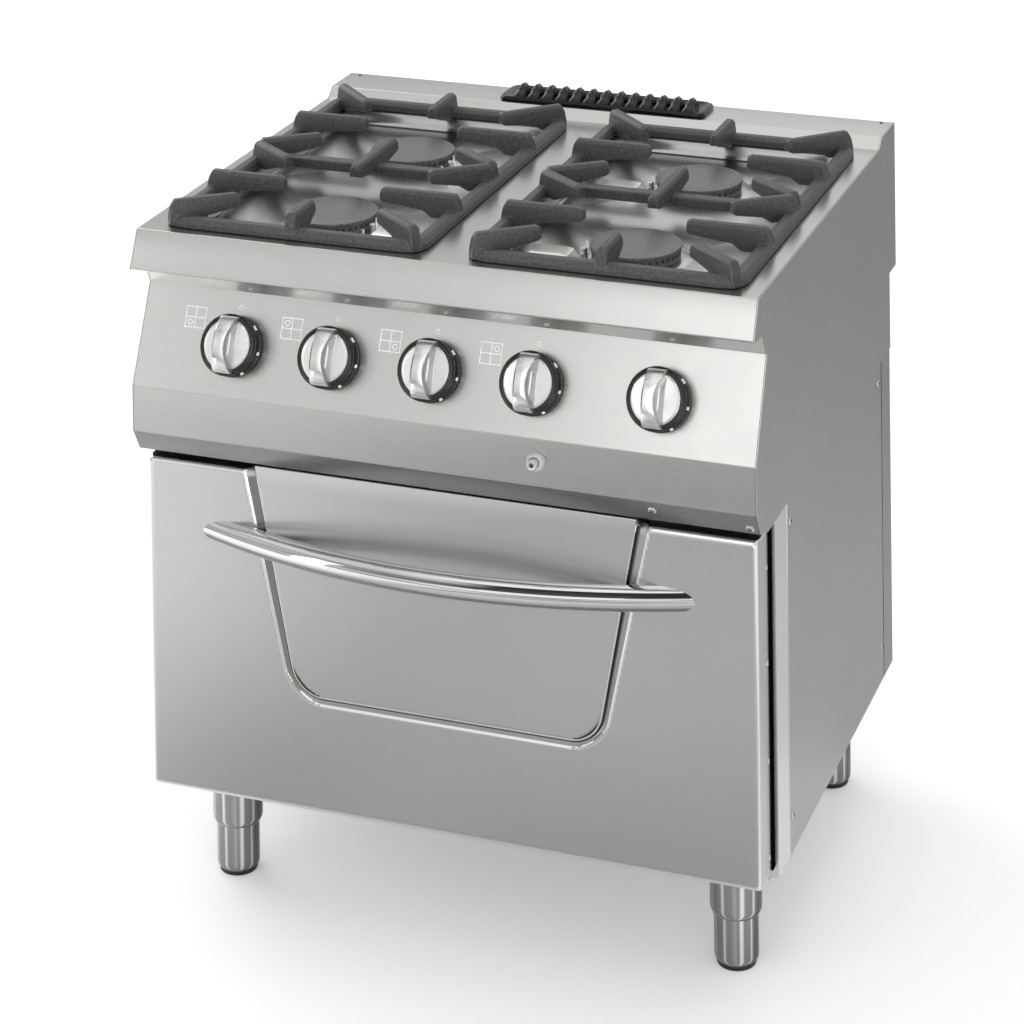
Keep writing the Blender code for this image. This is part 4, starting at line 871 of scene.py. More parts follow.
# ----------------------------------------------------------------- burners
CAP_Z = 0.845
for side, sl in ((-1, "left"), (1, "right")):
    for row, by in BURNER_Y.items():
        name = f"{row}_{sl}"
        at = Matrix.Translation((side * HOB_X, by + SY, CAP_Z))
        cap = [(0, -0.0004), (0.0300, 0.0), (0.0548, 0.0), (0.0562, -0.0005), (0.0567, -0.0016), (0.0566, -0.0034), (0.0556, -0.0040),
               (0.0549, -0.0044), (0.0544, -0.0125), (0.0548, -0.0133), (0.0546, -0.0160), (0.0500, -0.0163), (0.0432, -0.0163),
               (0.0420, -0.0100), (0, -0.0090)]
        head = lathe("burner_cap_" + name, cap, "burner", at, "burner_head_" + name, 96, 30)
        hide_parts("burner_head_" + name)
        # gas ports: a ring of small black discs round the skirt, painted shade standing in for the dark bores
        bm = bmesh.new()
        ports = 40
        for k in range(ports):
            a = 2 * math.pi * k / ports
            m = at @ Matrix.Rotation(a, 4, "Z") @ Matrix.Translation((0.0547, 0, -0.0084)) @ Matrix.Rotation(math.radians(90), 4, "Y")
            add = bmesh.ops.create_cone(bm, cap_ends=True, segments=8, radius1=0.0018, radius2=0.0018, depth=0.0010)["verts"]
            bmesh.ops.transform(bm, matrix=m, verts=add)
        from_bm("burner_ports_" + name, bm, "matt_black", "burner_head_" + name, 60)

# ---------------------------------------- pilot plates, nuts, pilot hoods and spark pins
for side, sl in ((-1, "left"), (1, "right")):
    for row, by in BURNER_Y.items():
        name = f"{row}_{sl}"
        bm = bmesh.new()
        cx, cy = side * (HOB_X - 0.0980), by - 0.036
        z0, z1 = 0.8255, 0.8390
        outline0 = rounded_rect(cx - 0.0320, cx + 0.0320, cy - 0.0270, cy + 0.0250, 0.010)
        outline1 = rounded_rect(cx - 0.0260, cx + 0.0260, cy - 0.0210, cy + 0.0190, 0.007)
        outline2 = rounded_rect(cx - 0.0215, cx + 0.0215, cy - 0.0165, cy + 0.0145, 0.005)
        loops = [[bm.verts.new((x, y + SY, z)) for x, y in line] for line, z in
                 ((outline0, z0), (outline1, z1 - 0.0022), (outline2, z1), (outline2, z1 - 0.0001))]
        for a, b in zip(loops[:3], loops[1:3]):
            n = len(a)
            for k in range(n):
                bm.faces.new((a[k], a[(k + 1) % n], b[(k + 1) % n], b[k]))
        for v in loops[3]:
            bm.verts.remove(v)
        bm.faces.new(loops[2])
        bm.faces.new(list(reversed(loops[0])))
        from_bm("pilot_plate_" + name, bm, "pressed", "cabinet", 30)
        nut = bmesh.new()
        hexa = [(0.0052 * math.cos(math.radians(60 * k + 12)), 0.0052 * math.sin(math.radians(60 * k + 12))) for k in range(6)]
        add_prism(nut, hexa, 0.0, 0.0042)
        bmesh.ops.bevel(nut, geom=list(nut.edges), offset=0.0006, segments=2, affect="EDGES")
        bmesh.ops.create_cone(nut, cap_ends=True, segments=20, radius1=0.0026, radius2=0.0024, depth=0.0110,
                              matrix=Matrix.Translation((0, 0, 0.0045)))
        bmesh.ops.transform(nut, matrix=Matrix.Translation((cx + side * 0.0415, cy - 0.0040 + SY, 0.8285)), verts=nut.verts)
        from_bm("pilot_nut_" + name, nut, "screw", "cabinet", 30)
        # pilot hood and spark pin beside the burner
        lathe("pilot_hood_" + name, [(0, 0.0125), (0.0030, 0.0125), (0.0042, 0.0112), (0.0042, 0.0), (0, 0.0)], "zinc",
              Matrix.Translation((cx + side * 0.0370, cy + 0.0180 + SY, 0.8270)), "cabinet", 20, 30)
        lathe("spark_pin_" + name, [(0, 0.0160), (0.0008, 0.0155), (0.0010, 0.0085), (0.0024, 0.0080), (0.0026, 0.0), (0, 0.0)], "print",
              Matrix.Translation((cx + side * 0.0370, cy + 0.0300 + SY, 0.8270)), "cabinet", 16, 30)

# ------------------------------------------------------------- flue grille
bm = bmesh.new()
ring_section(bm, rounded_rect(-0.149, 0.149, 0.2822, 0.3448, 0.012), rounded_rect(-0.1275, 0.1275, 0.2925, 0.3310, 0.005),
             [(0.0, LEDGE_Z + 0.0003), (0.0, 0.8665), (0.08, 0.8685), (0.22, 0.8698), (0.42, 0.8690), (0.72, 0.8668), (1.0, 0.8662),
              (1.0, LEDGE_Z + 0.0003)])
for k in range(13):
    x = (k - 6) * 0.0205
    # each tooth climbs from the front lip over a small shoulder to its peak
    spine = [(0.2900, 0.8662, 0.0040), (0.2925, 0.8700, 0.0060), (0.2965, 0.8725, 0.0068), (0.3005, 0.8738, 0.0066), (0.3045, 0.8770, 0.0058),
             (0.3085, 0.8802, 0.0046), (0.3125, 0.8813, 0.0040), (0.3165, 0.8806, 0.0042), (0.3200, 0.8790, 0.0046), (0.3235, 0.8798, 0.0040),
             (0.3265, 0.8785, 0.0040), (0.3300, 0.8725, 0.0048), (0.3325, 0.8660, 0.0040)]
    rings = []
    for y, z, w in spine:
        w *= 1.28
        h = z - 0.8640
        loop = [(-w * 1.15, 0.8640), (-w, 0.8640 + h * 0.45), (-w * 0.62, 0.8640 + h * 0.84), (0.0, z), (w * 0.62, 0.8640 + h * 0.84),
                (w, 0.8640 + h * 0.45), (w * 1.15, 0.8640)]
        rings.append([bm.verts.new((x + dx, y + SY, zz)) for dx, zz in loop])
    for a, b in zip(rings, rings[1:]):
        n = len(a)
        for j in range(n):
            bm.faces.new((a[j], a[(j + 1) % n], b[(j + 1) % n], b[j]))
    bm.faces.new(list(reversed(rings[0])))
    bm.faces.new(rings[-1])
grille = from_bm("grille_casting", bm, "grille", "cabinet", 40)
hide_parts("flue_grille")

# -------------------------------------------------------------------- door


BEAD_LEAN = 0.205


def bead_path():
    """Stations along the bead's middle line: (x, z, unit across towards the inside, half width)."""
    def mid(sign):
        outer_x, inner_x = 0.262, 0.2455
        return sign * (outer_x + inner_x) / 2
    top = 0.5630
    low = 0.2885
    x_top, x_low = mid(-1), mid(-1) + BEAD_LEAN * (top - low)
    corner = arc_fillet([(x_top, top), (x_low, low), (-x_low, low), (-x_top, top)], 0.047, 14)
    dense = []
    for p, q in zip(corner, corner[1:]):
        count = max(1, int(math.dist(p, q) / 0.006))
        dense += [(p[0] + (q[0] - p[0]) * k / count, p[1] + (q[1] - p[1]) * k / count) for k in range(count)]
    dense.append(corner[-1])
    out = []
    for i, p in enumerate(dense):
        a, b = Vector(dense[max(0, i - 1)]), Vector(dense[min(len(dense) - 1, i + 1)])
        t = (b - a).normalized()
        inward = Vector((-t.y, t.x))
        half = 0.0052 + 0.0030 * min(1.0, max(0.0, (p[1] - 0.30) / 0.263))
        out.append((Vector(p), inward, half))
    return out


def door():
    """The door skin: a tray with rolled edges; a bead pressed down both sides and along the bottom is swept into it."""
    hx, z0, z1, front, back, r = 0.3928, 0.150, 0.563, -0.322, -0.277, 0.0075

    def axis_samples(low, high):
        rows = [(low, back)]
        rows += [(low, front + r + (back - front - r) * k) for k in (0.64, 0.265)]
        for k in range(7):
            t = math.radians(90 * k / 6)
            rows.append((low + r - r * math.cos(t), front + r - r * math.sin(t)))
        count = int((high - low - 2 * r) / 0.0024)
        rows += [(low + r + (high - low - 2 * r) * k / count, front) for k in range(1, count)]
        for k in range(7):
            t = math.radians(90 * (1 - k / 6))
            rows.append((high - r + r * math.cos(t), front + r - r * math.sin(t)))
        rows += [(high, front + r + (back - front - r) * k / 3) for k in (1, 2)]
        rows.append((high, back))
        return rows

    xs, zs = axis_samples(-hx, hx), axis_samples(z0, z1)
    px, dx = np.array([a for a, _ in xs]), np.array([b for _, b in xs])
    pz, dz = np.array([a for a, _ in zs]), np.array([b for _, b in zs])
    gx, gz = np.meshgrid(px, pz)
    ex, ez = np.meshgrid(dx, dz)
    depth = np.minimum(ex + ez - front, back)
    # signed distance to the bead's middle line, negative inside it
    x_edge = 0.25375 - BEAD_LEAN * (0.563 - gz)
    d_side = (np.abs(gx) - x_edge) / math.hypot(1, BEAD_LEAN)
    d_low = 0.2885 - gz
    rr = 0.047
    q1, q2 = d_side + rr, d_low + rr
    dist = np.hypot(np.maximum(q1, 0), np.maximum(q2, 0)) + np.minimum(np.maximum(q1, q2), 0) - rr
    half = 0.0052 + 0.0030 * np.clip((gz - 0.30) / 0.263, 0, 1)
    # behind the swept bead the tray is pushed back so that only the bead shows
    hidden = 1 - smoothstep((np.abs(dist) - (half - 0.0030)) / 0.0030)
    depth = np.minimum(depth + 0.0080 * hidden, back)
    verts = np.stack([gx, depth + SY, gz], -1).reshape(-1, 3)
    w, h = len(px), len(pz)
    faces, rolled_highlight = [], []
    for i in range(h - 1):
        for j in range(w - 1):
            a = i * w + j
            quad = (a, a + 1, a + w + 1, a + w)
            if min(verts[q][1] for q in quad) > back + SY - 1e-7:
                continue
            if i < 2 and 0.3300 < abs(sum(verts[q][0] for q in quad)) / 4 < 0.3606:
                continue  # the slots that clear the hinges
            faces.append(quad)
            # the rolled edge faces take the bright bead steel: a painted highlight
            rolled_highlight.append(int(j in (5, 6, w - 7, w - 8) or i in (5, 6, h - 7, h - 8)))
    bm = bmesh.new()
    points = [bm.verts.new(v) for v in verts]
    for f, edge in zip(faces, rolled_highlight):
        bm.faces.new([points[q] for q in f]).material_index = edge
    bmesh.ops.delete(bm, geom=[v for v in bm.verts if not v.link_faces], context="VERTS")
    bmesh.ops.remove_doubles(bm, verts=bm.verts, dist=1e-6)
    bmesh.ops.recalc_face_normals(bm, faces=bm.faces)
    if sum(f.normal.y * f.calc_area() for f in bm.faces) > 0:
        bmesh.ops.reverse_faces(bm, faces=bm.faces)
    obj = from_bm("door_skin", bm, ["door", "bead"], None, None, recalc=False)
    skin = obj.modifiers.new("sheet", "SOLIDIFY")
    skin.thickness = 0.0012
    skin.offset = -1.0
    apply(obj)
    shade(obj, 50)
    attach(obj, "door")
    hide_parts("door_panel")

    # the bead: a rounded shoulder, a long slope down to the valley, a steep wall and the inner panel's rolled edge
    bm = bmesh.new()
    rings = []
    for p, inward, half in bead_path():
        deep = 0.0030 + (half - 0.0052) * 0.75
        line = [(-half - 0.0012, 0.00012), (-half, 0.0), (-half + 0.0028, deep * 0.42), (half - 0.0034, deep), (half - 0.0024, deep),
                (half - 0.0004, 0.0), (half + 0.0012, 0.00012)]
        soft = arc_fillet(line, [0, 0.0026, 0.0030, 0.0006, 0.0006, 0.0015, 0], 4)
        ring = []
        for u, d in soft:
            q = p + inward * u
            ring.append(bm.verts.new((q.x, front - 0.00012 + d + SY, q.y)))
        rings.append(ring)
    spans = len(rings[0]) - 1
    for a, b in zip(rings, rings[1:]):
        for k in range(spans):
            f = bm.faces.new((a[k], a[k + 1], b[k + 1], b[k]))
            # shoulders and rolled edge take the bright steel as a painted highlight, the slope and the deeper valley
            # darker copies as painted shade
            f.material_index = 0 if k < 6 or k > spans - 6 else 1 if k < 12 else 2
    bmesh.ops.recalc_face_normals(bm, faces=bm.faces)
    if sum(f.normal.y * f.calc_area() for f in bm.faces) > 0:
        bmesh.ops.reverse_faces(bm, faces=bm.faces)
    for v in list(bm.verts):
        # the bead's top follows the tray's rolled upper edge
        over = v.co.z - (z1 - r)
        if over > 0:
            t = min(1.0, over / r)
            v.co.y += r * (1 - math.sqrt(max(0.0, 1 - t * t))) * 0.999
    bead = from_bm("door_bead", bm, ["bead", "bead_slope_painted_shade", "bead_valley_painted_shade"], None, 40, recalc=False)
    skin = bead.modifiers.new("sheet", "SOLIDIFY")
    skin.thickness = 0.0010
    skin.offset = -1.0
    apply(bead)
    shade(bead, 40)
    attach(bead, "door")

    # the inner panel's upper edge stands up close under the control panel
    bm = bmesh.new()
    half_top = 0.2455 - 0.0006
    line = arc_fillet([(front - 0.0003, 0.5470), (front - 0.0003, 0.5698), (front + 0.0120, 0.5698), (front + 0.0120, 0.5610)],
                      [0, 0.0016, 0.002, 0], 5)
    back_line = offset_line(line, 0.0011)
    loop = line + list(reversed(back_line))
    rings = []
    for side in (-1, 1):
        ring = []
        for y, z in loop:
            x = side * (half_top - BEAD_LEAN * (0.563 - z))
            ring.append(bm.verts.new((x, y + SY, z)))
        rings.append(ring)
    n = len(loop)
    for k in range(n):
        bm.faces.new((rings[0][k], rings[0][(k + 1) % n], rings[1][(k + 1) % n], rings[1][k]))
    m = len(line)
    for ring in rings:
        for k in range(m - 1):
            bm.faces.new((ring[k], ring[n - 1 - k], ring[n - 2 - k], ring[k + 1]))
    from_bm("door_inner_lip", bm, "door", "door", 30)


door()


def handle():
    """A bowed tube whose ends are cut off against the door face."""
    curve = 0.635
    bow, radius, z, front = 0.048, 0.0150, 0.4802, -0.322
    verts, faces, segs, rows = [], [], 48, 121
    span = 0.345
    for i in range(rows):
        x = -span + 2 * span * i / (rows - 1)
        y = front - (bow - curve * x * x)
        t = Vector((1.0, 2 * curve * x, 0)).normalized()
        side = Vector((-t.y, t.x, 0))
        for k in range(segs):
            a = 2 * math.pi * k / segs
            p = Vector((x, y, z)) + side * (radius * math.cos(a)) + Vector((0, 0, radius * math.sin(a)))
            verts.append((p.x, p.y + SY, p.z))
    for i in range(rows - 1):
        for k in range(segs):
            a, b = i * segs + k, i * segs + (k + 1) % segs
            faces.append((a, b, b + segs, a + segs))
    faces.append(tuple(range(segs)))
    faces.append(tuple(reversed(range((rows - 1) * segs, rows * segs))))
    obj = make("handle_bar", verts, faces, "chrome", None, None)
    bm = bmesh.new()
    bm.from_mesh(obj.data)
    plane = front + SY - 0.0002
    cut = bmesh.ops.bisect_plane(bm, geom=list(bm.verts) + list(bm.edges) + list(bm.faces), plane_co=(0, plane, 0), plane_no=(0, 1, 0),
                                 clear_outer=True)
    rim = [e for e in cut["geom_cut"] if isinstance(e, bmesh.types.BMEdge)]
    bmesh.ops.holes_fill(bm, edges=rim, sides=0)
    bmesh.ops.recalc_face_normals(bm, faces=bm.faces)
    bm.to_mesh(obj.data)
    bm.free()
    shade(obj, 40)
    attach(obj, "door")
    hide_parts("door_handle")


handle()

# -------------------------------------------------------------------- legs
for y, row in ((-0.210, "front"), (0.242, "rear")):
    for x, sl in ((-0.3295, "left"), (0.3295, "right")):
        name = f"{row}_{sl}"
        at = Matrix.Translation((x, y + SY, 0))
        sleeve = [(0.0276, 0.1416), (0.0315, 0.1416), (0.0315, 0.0712), (0.0310, 0.0672), (0.0296, 0.0640), (0.0276, 0.0628)]
        lathe("leg_tube_" + name, sleeve, "leg", at, "cabinet", 80, 40)
        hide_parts("leg_sleeve_" + name)
        foot = [(0, 0.1300), (0.0250, 0.1300), (0.0270, 0.1280), (0.0270, 0.0128), (0.0267, 0.0092), (0.0258, 0.0072), (0.0247, 0.0061),
                (0.0240, 0.0052), (0.0240, 0.0014), (0.0232, 0.0), (0, 0.0)]
        obj = lathe("leg_insert_" + name, foot, ["leg", "matt_black"], at, "leg_foot_" + name, 80, 40,
                    mats=lambda r, h: int(h < 0.0055))
        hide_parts("leg_foot_" + name)

# ------------------------------------------------------------------ screws


def screw(name, at, normal, radius=0.0040, height=0.0018, body="cabinet", slot_angle=0.5, mat="screw"):
    """A pan head screw with a cross recess."""
    n = Vector(normal).normalized()
    turn = n.to_track_quat("Z", "Y").to_matrix().to_4x4()
    m = Matrix.Translation(at) @ turn @ Matrix.Rotation(slot_angle, 4, "Z")
    head = [(0, height), (radius * 0.45, height * 0.96), (radius * 0.8, height * 0.70), (radius, height * 0.25), (radius, 0.0), (0, 0.0)]
    bm = bmesh.new()
    segs, rings = 24, []
    for r, h in head:
        rings.append([bm.verts.new((0, 0, h))] if r < 1e-7 else
                     [bm.verts.new((r * math.cos(2 * math.pi * k / segs), r * math.sin(2 * math.pi * k / segs), h)) for k in range(segs)])
    for a, b in zip(rings, rings[1:]):
        for k in range(segs):
            k2 = (k + 1) % segs
            if len(a) == 1:
                bm.faces.new((a[0], b[k], b[k2]))
            elif len(b) == 1:
                bm.faces.new((a[k], b[0], a[k2]))
            else:
                bm.faces.new((a[k], b[k], b[k2], a[k2]))
    # the cross recess is two black bars on the head: painted shade of the recess
    for sx, sy in ((0.62, 0.14), (0.14, 0.62)):
        add_box(bm, (-radius * sx, -radius * sy, height * 0.90), (radius * sx, radius * sy, height * 1.04), None, 0.0, 1, 1)
    bmesh.ops.transform(bm, matrix=m, verts=bm.verts)
    return from_bm(name, bm, [mat, "matt_black"], body, 40)


count = 0
for sx, label in ((1, "right"), (-1, "left")):
    for y, z in ((-0.305, 0.824), (-0.0045, 0.824), (0.293, 0.828), (0.293, 0.820)):
        count += 1
        screw(f"casing_screw_{label}_{count}", (sx * 0.4001, y + SY, z), (sx, 0, 0), 0.0022, 0.0008, slot_angle=count * 0.7)
    for y, z in ((-0.205, 0.541), (0.243, 0.543), (0.250, 0.187), (-0.206, 0.187)):
        count += 1
        screw(f"side_screw_{label}_{count}", (sx * 0.3995, y + SY, z), (sx, 0, 0), 0.0042, 0.0022, slot_angle=count * 0.9)
    for z in (0.5176, 0.404, 0.2881, 0.1734):
        count += 1
        screw(f"door_screw_{label}_{count}", (sx * 0.3927, -0.2835 + SY, z), (sx, 0, 0), 0.0030, 0.0014, body="door", slot_angle=count * 0.6)
    screw(f"ledge_screw_{label}", (sx * 0.3835, 0.3415 + SY, LEDGE_Z), (0, 0, 1), 0.0024, 0.0008, mat="matt_black")
for x, y, z in ((0.2710, -0.3386, 0.5905), (0.3880, -0.3340, 0.5830)):
    count += 1
    screw(f"panel_screw_{count}", (x, y + SY, z), (0, -0.85, -0.53), 0.0052, 0.0024, slot_angle=0.4)
for x in (-0.36, -0.18, 0.18, 0.36):
    for z in (0.690, 0.835):
        count += 1
        screw(f"back_screw_{count}", (x, 0.3495 + SY, z), (0, 1, 0), 0.0040, 0.0018, slot_angle=count)
for x in (-0.37, 0.0, 0.37):
    for z in (0.165, 0.540):
        count += 1
        screw(f"rear_screw_{count}", (x, 0.3110 + SY, z), (0, 1, 0), 0.0040, 0.0018, slot_angle=count)

# ------------------------------------- painted shade in the door gap, painted shadow and highlight lines on the casing seams
for sx, label in ((1, "right"), (-1, "left")):
    bm = bmesh.new()
    x0, x1 = sorted((sx * 0.3802, sx * 0.3950))
    # a black box standing in the door gap: painted shade
    add_box(bm, (x0, -0.2764 + SY, 0.1545), (x1, -0.2674 + SY, 0.5595), None, 0.0006)
    from_bm("door_gap_painted_shade_" + label, bm, "seal", "cabinet", 30)
    bm = bmesh.new()
    x0, x1 = sorted((sx * 0.3990, sx * 0.3998))
    add_box(bm, (x0, 0.2618 + SY, 0.1430), (x1, 0.2626 + SY, 0.5660), None, 0.0002)
    from_bm("side_seam_shadow_" + label, bm, "seal", "cabinet", 30)
    bm = bmesh.new()
    # thin bright boxes beside the seam: painted highlight lines
    add_box(bm, (x0, 0.2628 + SY, 0.1430), (x1, 0.2646 + SY, 0.5660), None, 0.0006)
    add_box(bm, (x0, -0.2165 + SY, 0.1430), (x1, -0.2153 + SY, 0.5660), None, 0.0005)
    from_bm("side_seam_highlight_" + label, bm, "bead", "cabinet", 30)

# ------------------------------------------- finish on the remaining solids
FINISH = {
    "upper_side_left": "side", "upper_side_right": "side", "upper_back_panel": "side", "side_panel_left": "side",
    "side_panel_right": "side", "rear_panel": "tin", "front_frame": "post", "door_inner_panel": "door",
    "flue_duct": "tin", "base_pan": "tin", "oven_burner": "tin", "oven_liner": "enamel", "oven_floor_plate": "enamel",
    "oven_insulation": "wool", "door_insulation": "wool", "door_gasket": "rope", "oven_shelf": "wire", "igniter_body": "matt_black",
    "door_hinge_left": "zinc", "door_hinge_right": "zinc", "gas_manifold": "brass", "oven_thermostat": "brass",
}
EDGE = {"upper_side_left": 0.0004, "upper_side_right": 0.0004, "side_panel_left": 0.0005, "side_panel_right": 0.0005,
        "front_frame": 0.0006, "upper_back_panel": 0.0004, "rear_panel": 0.0004, "door_inner_panel": 0.0003, "base_pan": 0.0005,
        "oven_floor_plate": 0.0006}
for node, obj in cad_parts.items():
    if obj.hide_render:
        continue
    mat = FINISH.get(node)
    if mat is None:
        mat = "brass" if node.startswith("gas_tap") else "burner" if node.startswith("burner_body") else "zinc"
    obj.data.materials.clear()
    obj.data.materials.append(M[mat])
    weld = obj.modifiers.new("weld", "WELD")
    weld.merge_threshold = 0.00001
    if node in EDGE:
        ease = obj.modifiers.new("eased_edges", "BEVEL")
        ease.width = EDGE[node]
        ease.segments = 2
        ease.limit_method = "ANGLE"
        ease.angle_limit = math.radians(20)
    else:
        obj.data.shade_smooth()
        obj.data.set_sharp_from_angle(angle=math.radians(35))

# ============================================================ stage, lights
floor_mesh = bpy.data.meshes.new("floor")
floor_mesh.from_pydata([(-60, -60, -0.0006), (60, -60, -0.0006), (60, 60, -0.0006), (-60, 60, -0.0006)], [], [(0, 1, 2, 3)])
floor = bpy.data.objects.new("floor", floor_mesh)
bpy.context.scene.collection.objects.link(floor)
n = Nodes("floor_pale")
path = n.add("ShaderNodeLightPath")
where = n.add("ShaderNodeNewGeometry")
parts = n.add("ShaderNodeSeparateXYZ")
n.link(where.outputs["Position"], parts.inputs[0])


def ramp(source, a, b, low, high):
    node = n.add("ShaderNodeMapRange", interpolation_type="SMOOTHSTEP")
    for name, value in (("From Min", a), ("From Max", b), ("To Min", low), ("To Max", high)):
        node.inputs[name].default_value = value
    n.link(source, node.inputs["Value"])
    return node.outputs["Result"]


def math_node(kind, a, b):
    node = n.add("ShaderNodeMath", operation=kind)
    for k, value in enumerate((a, b)):
        if isinstance(value, float):
            node.inputs[k].default_value = value
        else:
            n.link(value, node.inputs[k])
    return node.outputs[0]


px, py = parts.outputs[0], parts.outputs[1]
tone = math_node("ADD", ramp(px, -0.95, -0.30, 0.98, 0.44), ramp(px, -0.45, -0.15, 0.0, 0.12))
tone = math_node("MULTIPLY", tone, ramp(py, -1.1, -0.6, 1.0, 0.80))
tone = math_node("MULTIPLY", tone, ramp(py, -1.62, -1.30, 0.58, 1.0))
tone = math_node("MULTIPLY", tone, ramp(py, -2.0, -1.70, 1.80, 1.0))
# close in front of the legs the floor is at its brightest
tone = math_node("MAXIMUM", tone, ramp(py, -0.47, -0.42, 0.0, 1.0))
# far to either side the studio floor is lit brightly, behind it falls away
tone = math_node("MAXIMUM", tone, math_node("MAXIMUM", ramp(px, 0.75, 1.5, 0.0, 1.0), ramp(px, -1.5, -1.05, 1.0, 0.0)))
rear = ramp(py, 0.5, 2.2, 0.54, 0.34)
blend = n.add("ShaderNodeMix", data_type="FLOAT")
n.link(ramp(py, -0.1, 0.5, 0.0, 1.0), blend.inputs[0])
n.link(tone, blend.inputs[2])
n.link(rear, blend.inputs[3])
aside = math_node("SQRT", math_node("ADD", math_node("POWER", math_node("SUBTRACT", px, 0.41), 2.0), math_node("POWER", math_node("SUBTRACT", py, 0.12), 2.0)), 0.0)
near = math_node("MAXIMUM", blend.outputs[0], ramp(aside, 0.18, 0.24, 1.0, 0.0))
grey = n.add("ShaderNodeCombineColor")
for k in range(3):
    n.link(near, grey.inputs[k])
shine = n.mix(path.outputs["Is Glossy Ray"], (0.90, 0.90, 0.90), grey.outputs[0])
n.set(Base_Color=shine, Roughness=0.9, Emission_Color=(1.0, 1.0, 1.0, 1.0), Emission_Strength=math_node("MULTIPLY", path.outputs["Is Camera Ray"], 0.24))
floor_mesh.materials.append(n.mat)

world = bpy.data.worlds.new("studio")
bpy.context.scene.world = world
world.use_nodes = True
tree = world.node_tree
tree.nodes.clear()
out = tree.nodes.new("ShaderNodeOutputWorld")
sky = tree.nodes.new("ShaderNodeBackground")
at = tree.nodes.new("ShaderNodeTexCoord")
split = tree.nodes.new("ShaderNodeSeparateXYZ")
tree.links.new(at.outputs["Generated"], split.inputs[0])


def world_range(value, a, b, low, high):
    node = tree.nodes.new("ShaderNodeMapRange")
    node.interpolation_type = "SMOOTHSTEP"
    node.inputs["From Min"].default_value = a
    node.inputs["From Max"].default_value = b
    node.inputs["To Min"].default_value = low
    node.inputs["To Max"].default_value = high
    tree.links.new(value, node.inputs["Value"])
    return node.outputs["Result"]


def world_times(a, b):
    node = tree.nodes.new("ShaderNodeMath")
    node.operation = "MULTIPLY"
    tree.links.new(a, node.inputs[0])
    tree.links.new(b, node.inputs[1])
    return node.outputs[0]


def world_add(a, b, kind="ADD"):
    node = tree.nodes.new("ShaderNodeMath")
    node.operation = kind
    for k, value in enumerate((a, b)):
        if isinstance(value, float):
            node.inputs[k].default_value = value
        else:
            tree.links.new(value, node.inputs[k])
    return node.outputs[0]


up, sideways, back = split.outputs[2], split.outputs[0], split.outputs[1]
level = world_times(world_range(up, -0.05, 0.45, 0.74, 0.98), world_range(up, 0.70, 1.0, 1.0, 0.80))
level = world_times(level, world_range(sideways, 0.05, 0.75, 1.0, 0.66))
level = world_times(level, world_range(sideways, -0.47, -0.22, 0.70, 1.12))
# behind the range the studio is dimmer low down
dim = world_add(world_times(world_range(back, 0.15, 0.6, 0.0, 1.0), world_range(up, 0.35, 0.75, 0.14, 0.0)), 1.0, "SUBTRACT")
dim = world_add(0.0, dim, "SUBTRACT")
level = world_times(level, dim)
# two dark flags that polished tubes pick up as thin lines
flags = world_times(world_add(world_range(up, 0.60, 0.63, 0.0, 0.35), world_range(up, 0.68, 0.71, 0.0, 0.35), "SUBTRACT"), world_range(back, -0.2, 0.1, 1.0, 0.0))
low_flag = world_add(world_range(up, -0.02, 0.00, 0.0, 0.80), world_range(up, 0.05, 0.09, 0.0, 0.80), "SUBTRACT")
keep = world_add(1.0, world_add(flags, low_flag), "SUBTRACT")
level = world_times(level, keep)
# looked at directly the studio is one plain pale tone
seen = tree.nodes.new("ShaderNodeLightPath").outputs["Is Camera Ray"]
level = world_add(world_times(level, world_add(1.0, seen, "SUBTRACT")), world_add(seen, 0.96, "MULTIPLY"))
tree.links.new(level, sky.inputs["Strength"])
sky.inputs["Color"].default_value = (1.0, 0.995, 0.985, 1.0)
tree.links.new(sky.outputs[0], out.inputs[0])


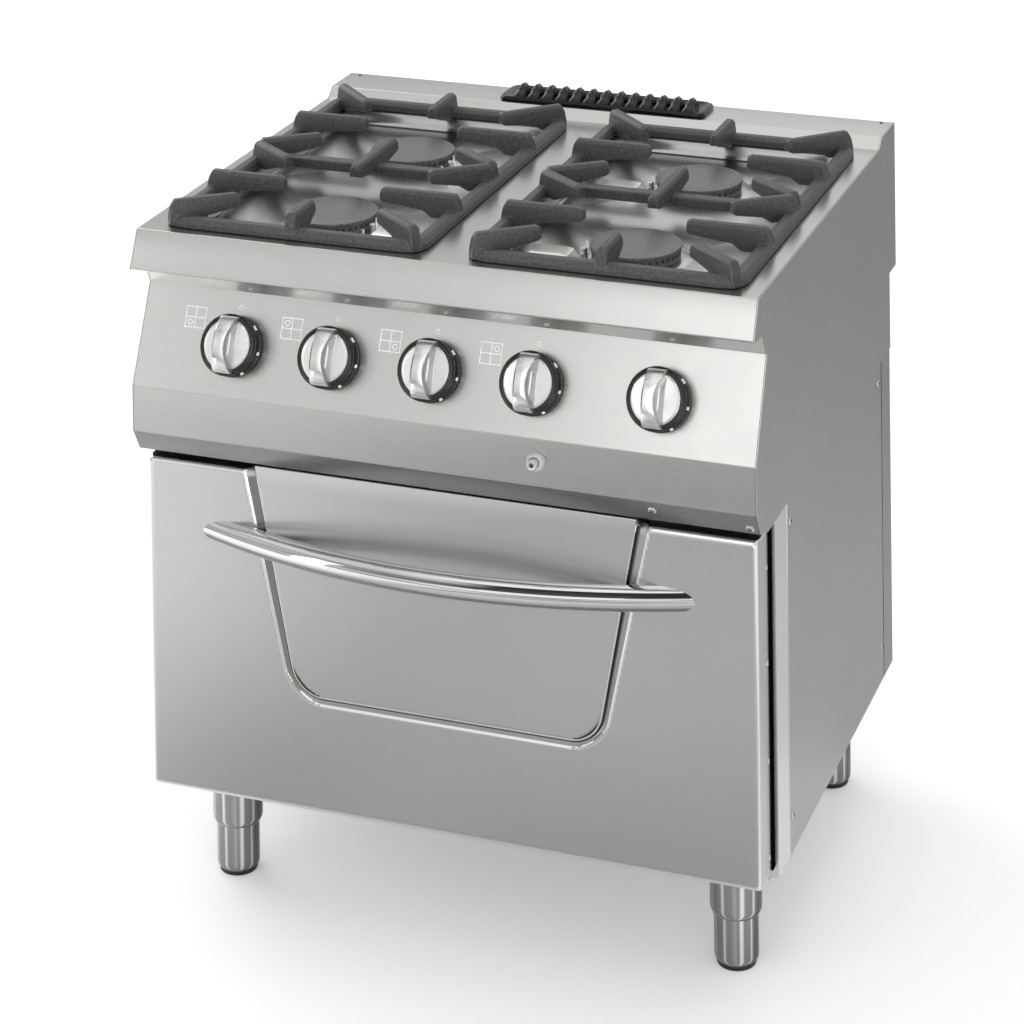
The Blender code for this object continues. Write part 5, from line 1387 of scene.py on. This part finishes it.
def area(name, at, look, size, power, colour=(1, 1, 1), size_y=None):
    light = bpy.data.lights.new(name, "AREA")
    light.shape = "RECTANGLE"
    light.size, light.size_y = size, size_y or size
    light.energy = power
    light.color = colour
    obj = bpy.data.objects.new(name, light)
    obj.location = at
    obj.rotation_euler = (Vector(look) - Vector(at)).to_track_quat("-Z", "Y").to_euler()
    obj.visible_camera = False
    bpy.context.scene.collection.objects.link(obj)
    return obj


area("key_softbox", (-3.1, 1.5, 2.6), (0, 0, 0.7), 3.3, 68)
area("top_softbox", (0.6, 0.8, 3.8), (0, 0, 0.8), 3.0, 9)
area("left_strip", (-1.8, -2.1, 0.9), (0, -0.3, 0.5), 0.32, 4.0, size_y=1.9)
area("right_strip", (1.75, -2.35, 0.8), (0, -0.3, 0.4), 0.30, 6.5, size_y=1.5)
area("side_strip", (2.7, -0.3, 0.8), (0, -0.2, 0.4), 0.35, 0.8, size_y=1.5)
area("right_card", (0.22, -1.5, 1.22), (0.32, -0.33, 0.74), 0.75, 1.5)

# ------------------------------------------------------------------ camera
cam_data = bpy.data.cameras.new("camera")
cam = bpy.data.objects.new("camera", cam_data)
bpy.context.scene.collection.objects.link(cam)
cam_at = Vector((1.3762, -3.7533 + SY, 2.1141))
right, down, ahead = Vector((0.93857, 0.34486, -0.01269)), Vector((-0.00345, -0.02740, -0.99962)), Vector((-0.34508, 0.93825, -0.02453))
turn = Matrix((right, -down, -ahead)).transposed()
cam.matrix_world = Matrix.Translation(cam_at) @ turn.to_4x4()
cam_data.sensor_width = 36.0
cam_data.lens = 3108.117 / 1024 * 36.0
cam_data.clip_end = 200
SHIFT = {"shift_x": (512 - 515.20) / 1024, "shift_y": (-719.35 - 512) / 1024}
for prop, value in SHIFT.items():
    # the shift belongs to this camera place only: from any other place the lens is straight
    driver = cam_data.driver_add(prop).driver
    driver.type = "SCRIPTED"
    v = driver.variables.new()
    v.name = "px"
    v.type = "TRANSFORMS"
    v.targets[0].id = cam
    v.targets[0].transform_type = "LOC_X"
    v.targets[0].transform_space = "WORLD_SPACE"
    driver.expression = f"{value:.6f} if abs(px - {cam_at.x:.6f}) < 0.00001 else 0.0"
bpy.context.scene.camera = cam
bpy.context.scene.view_settings.view_transform = "Standard"
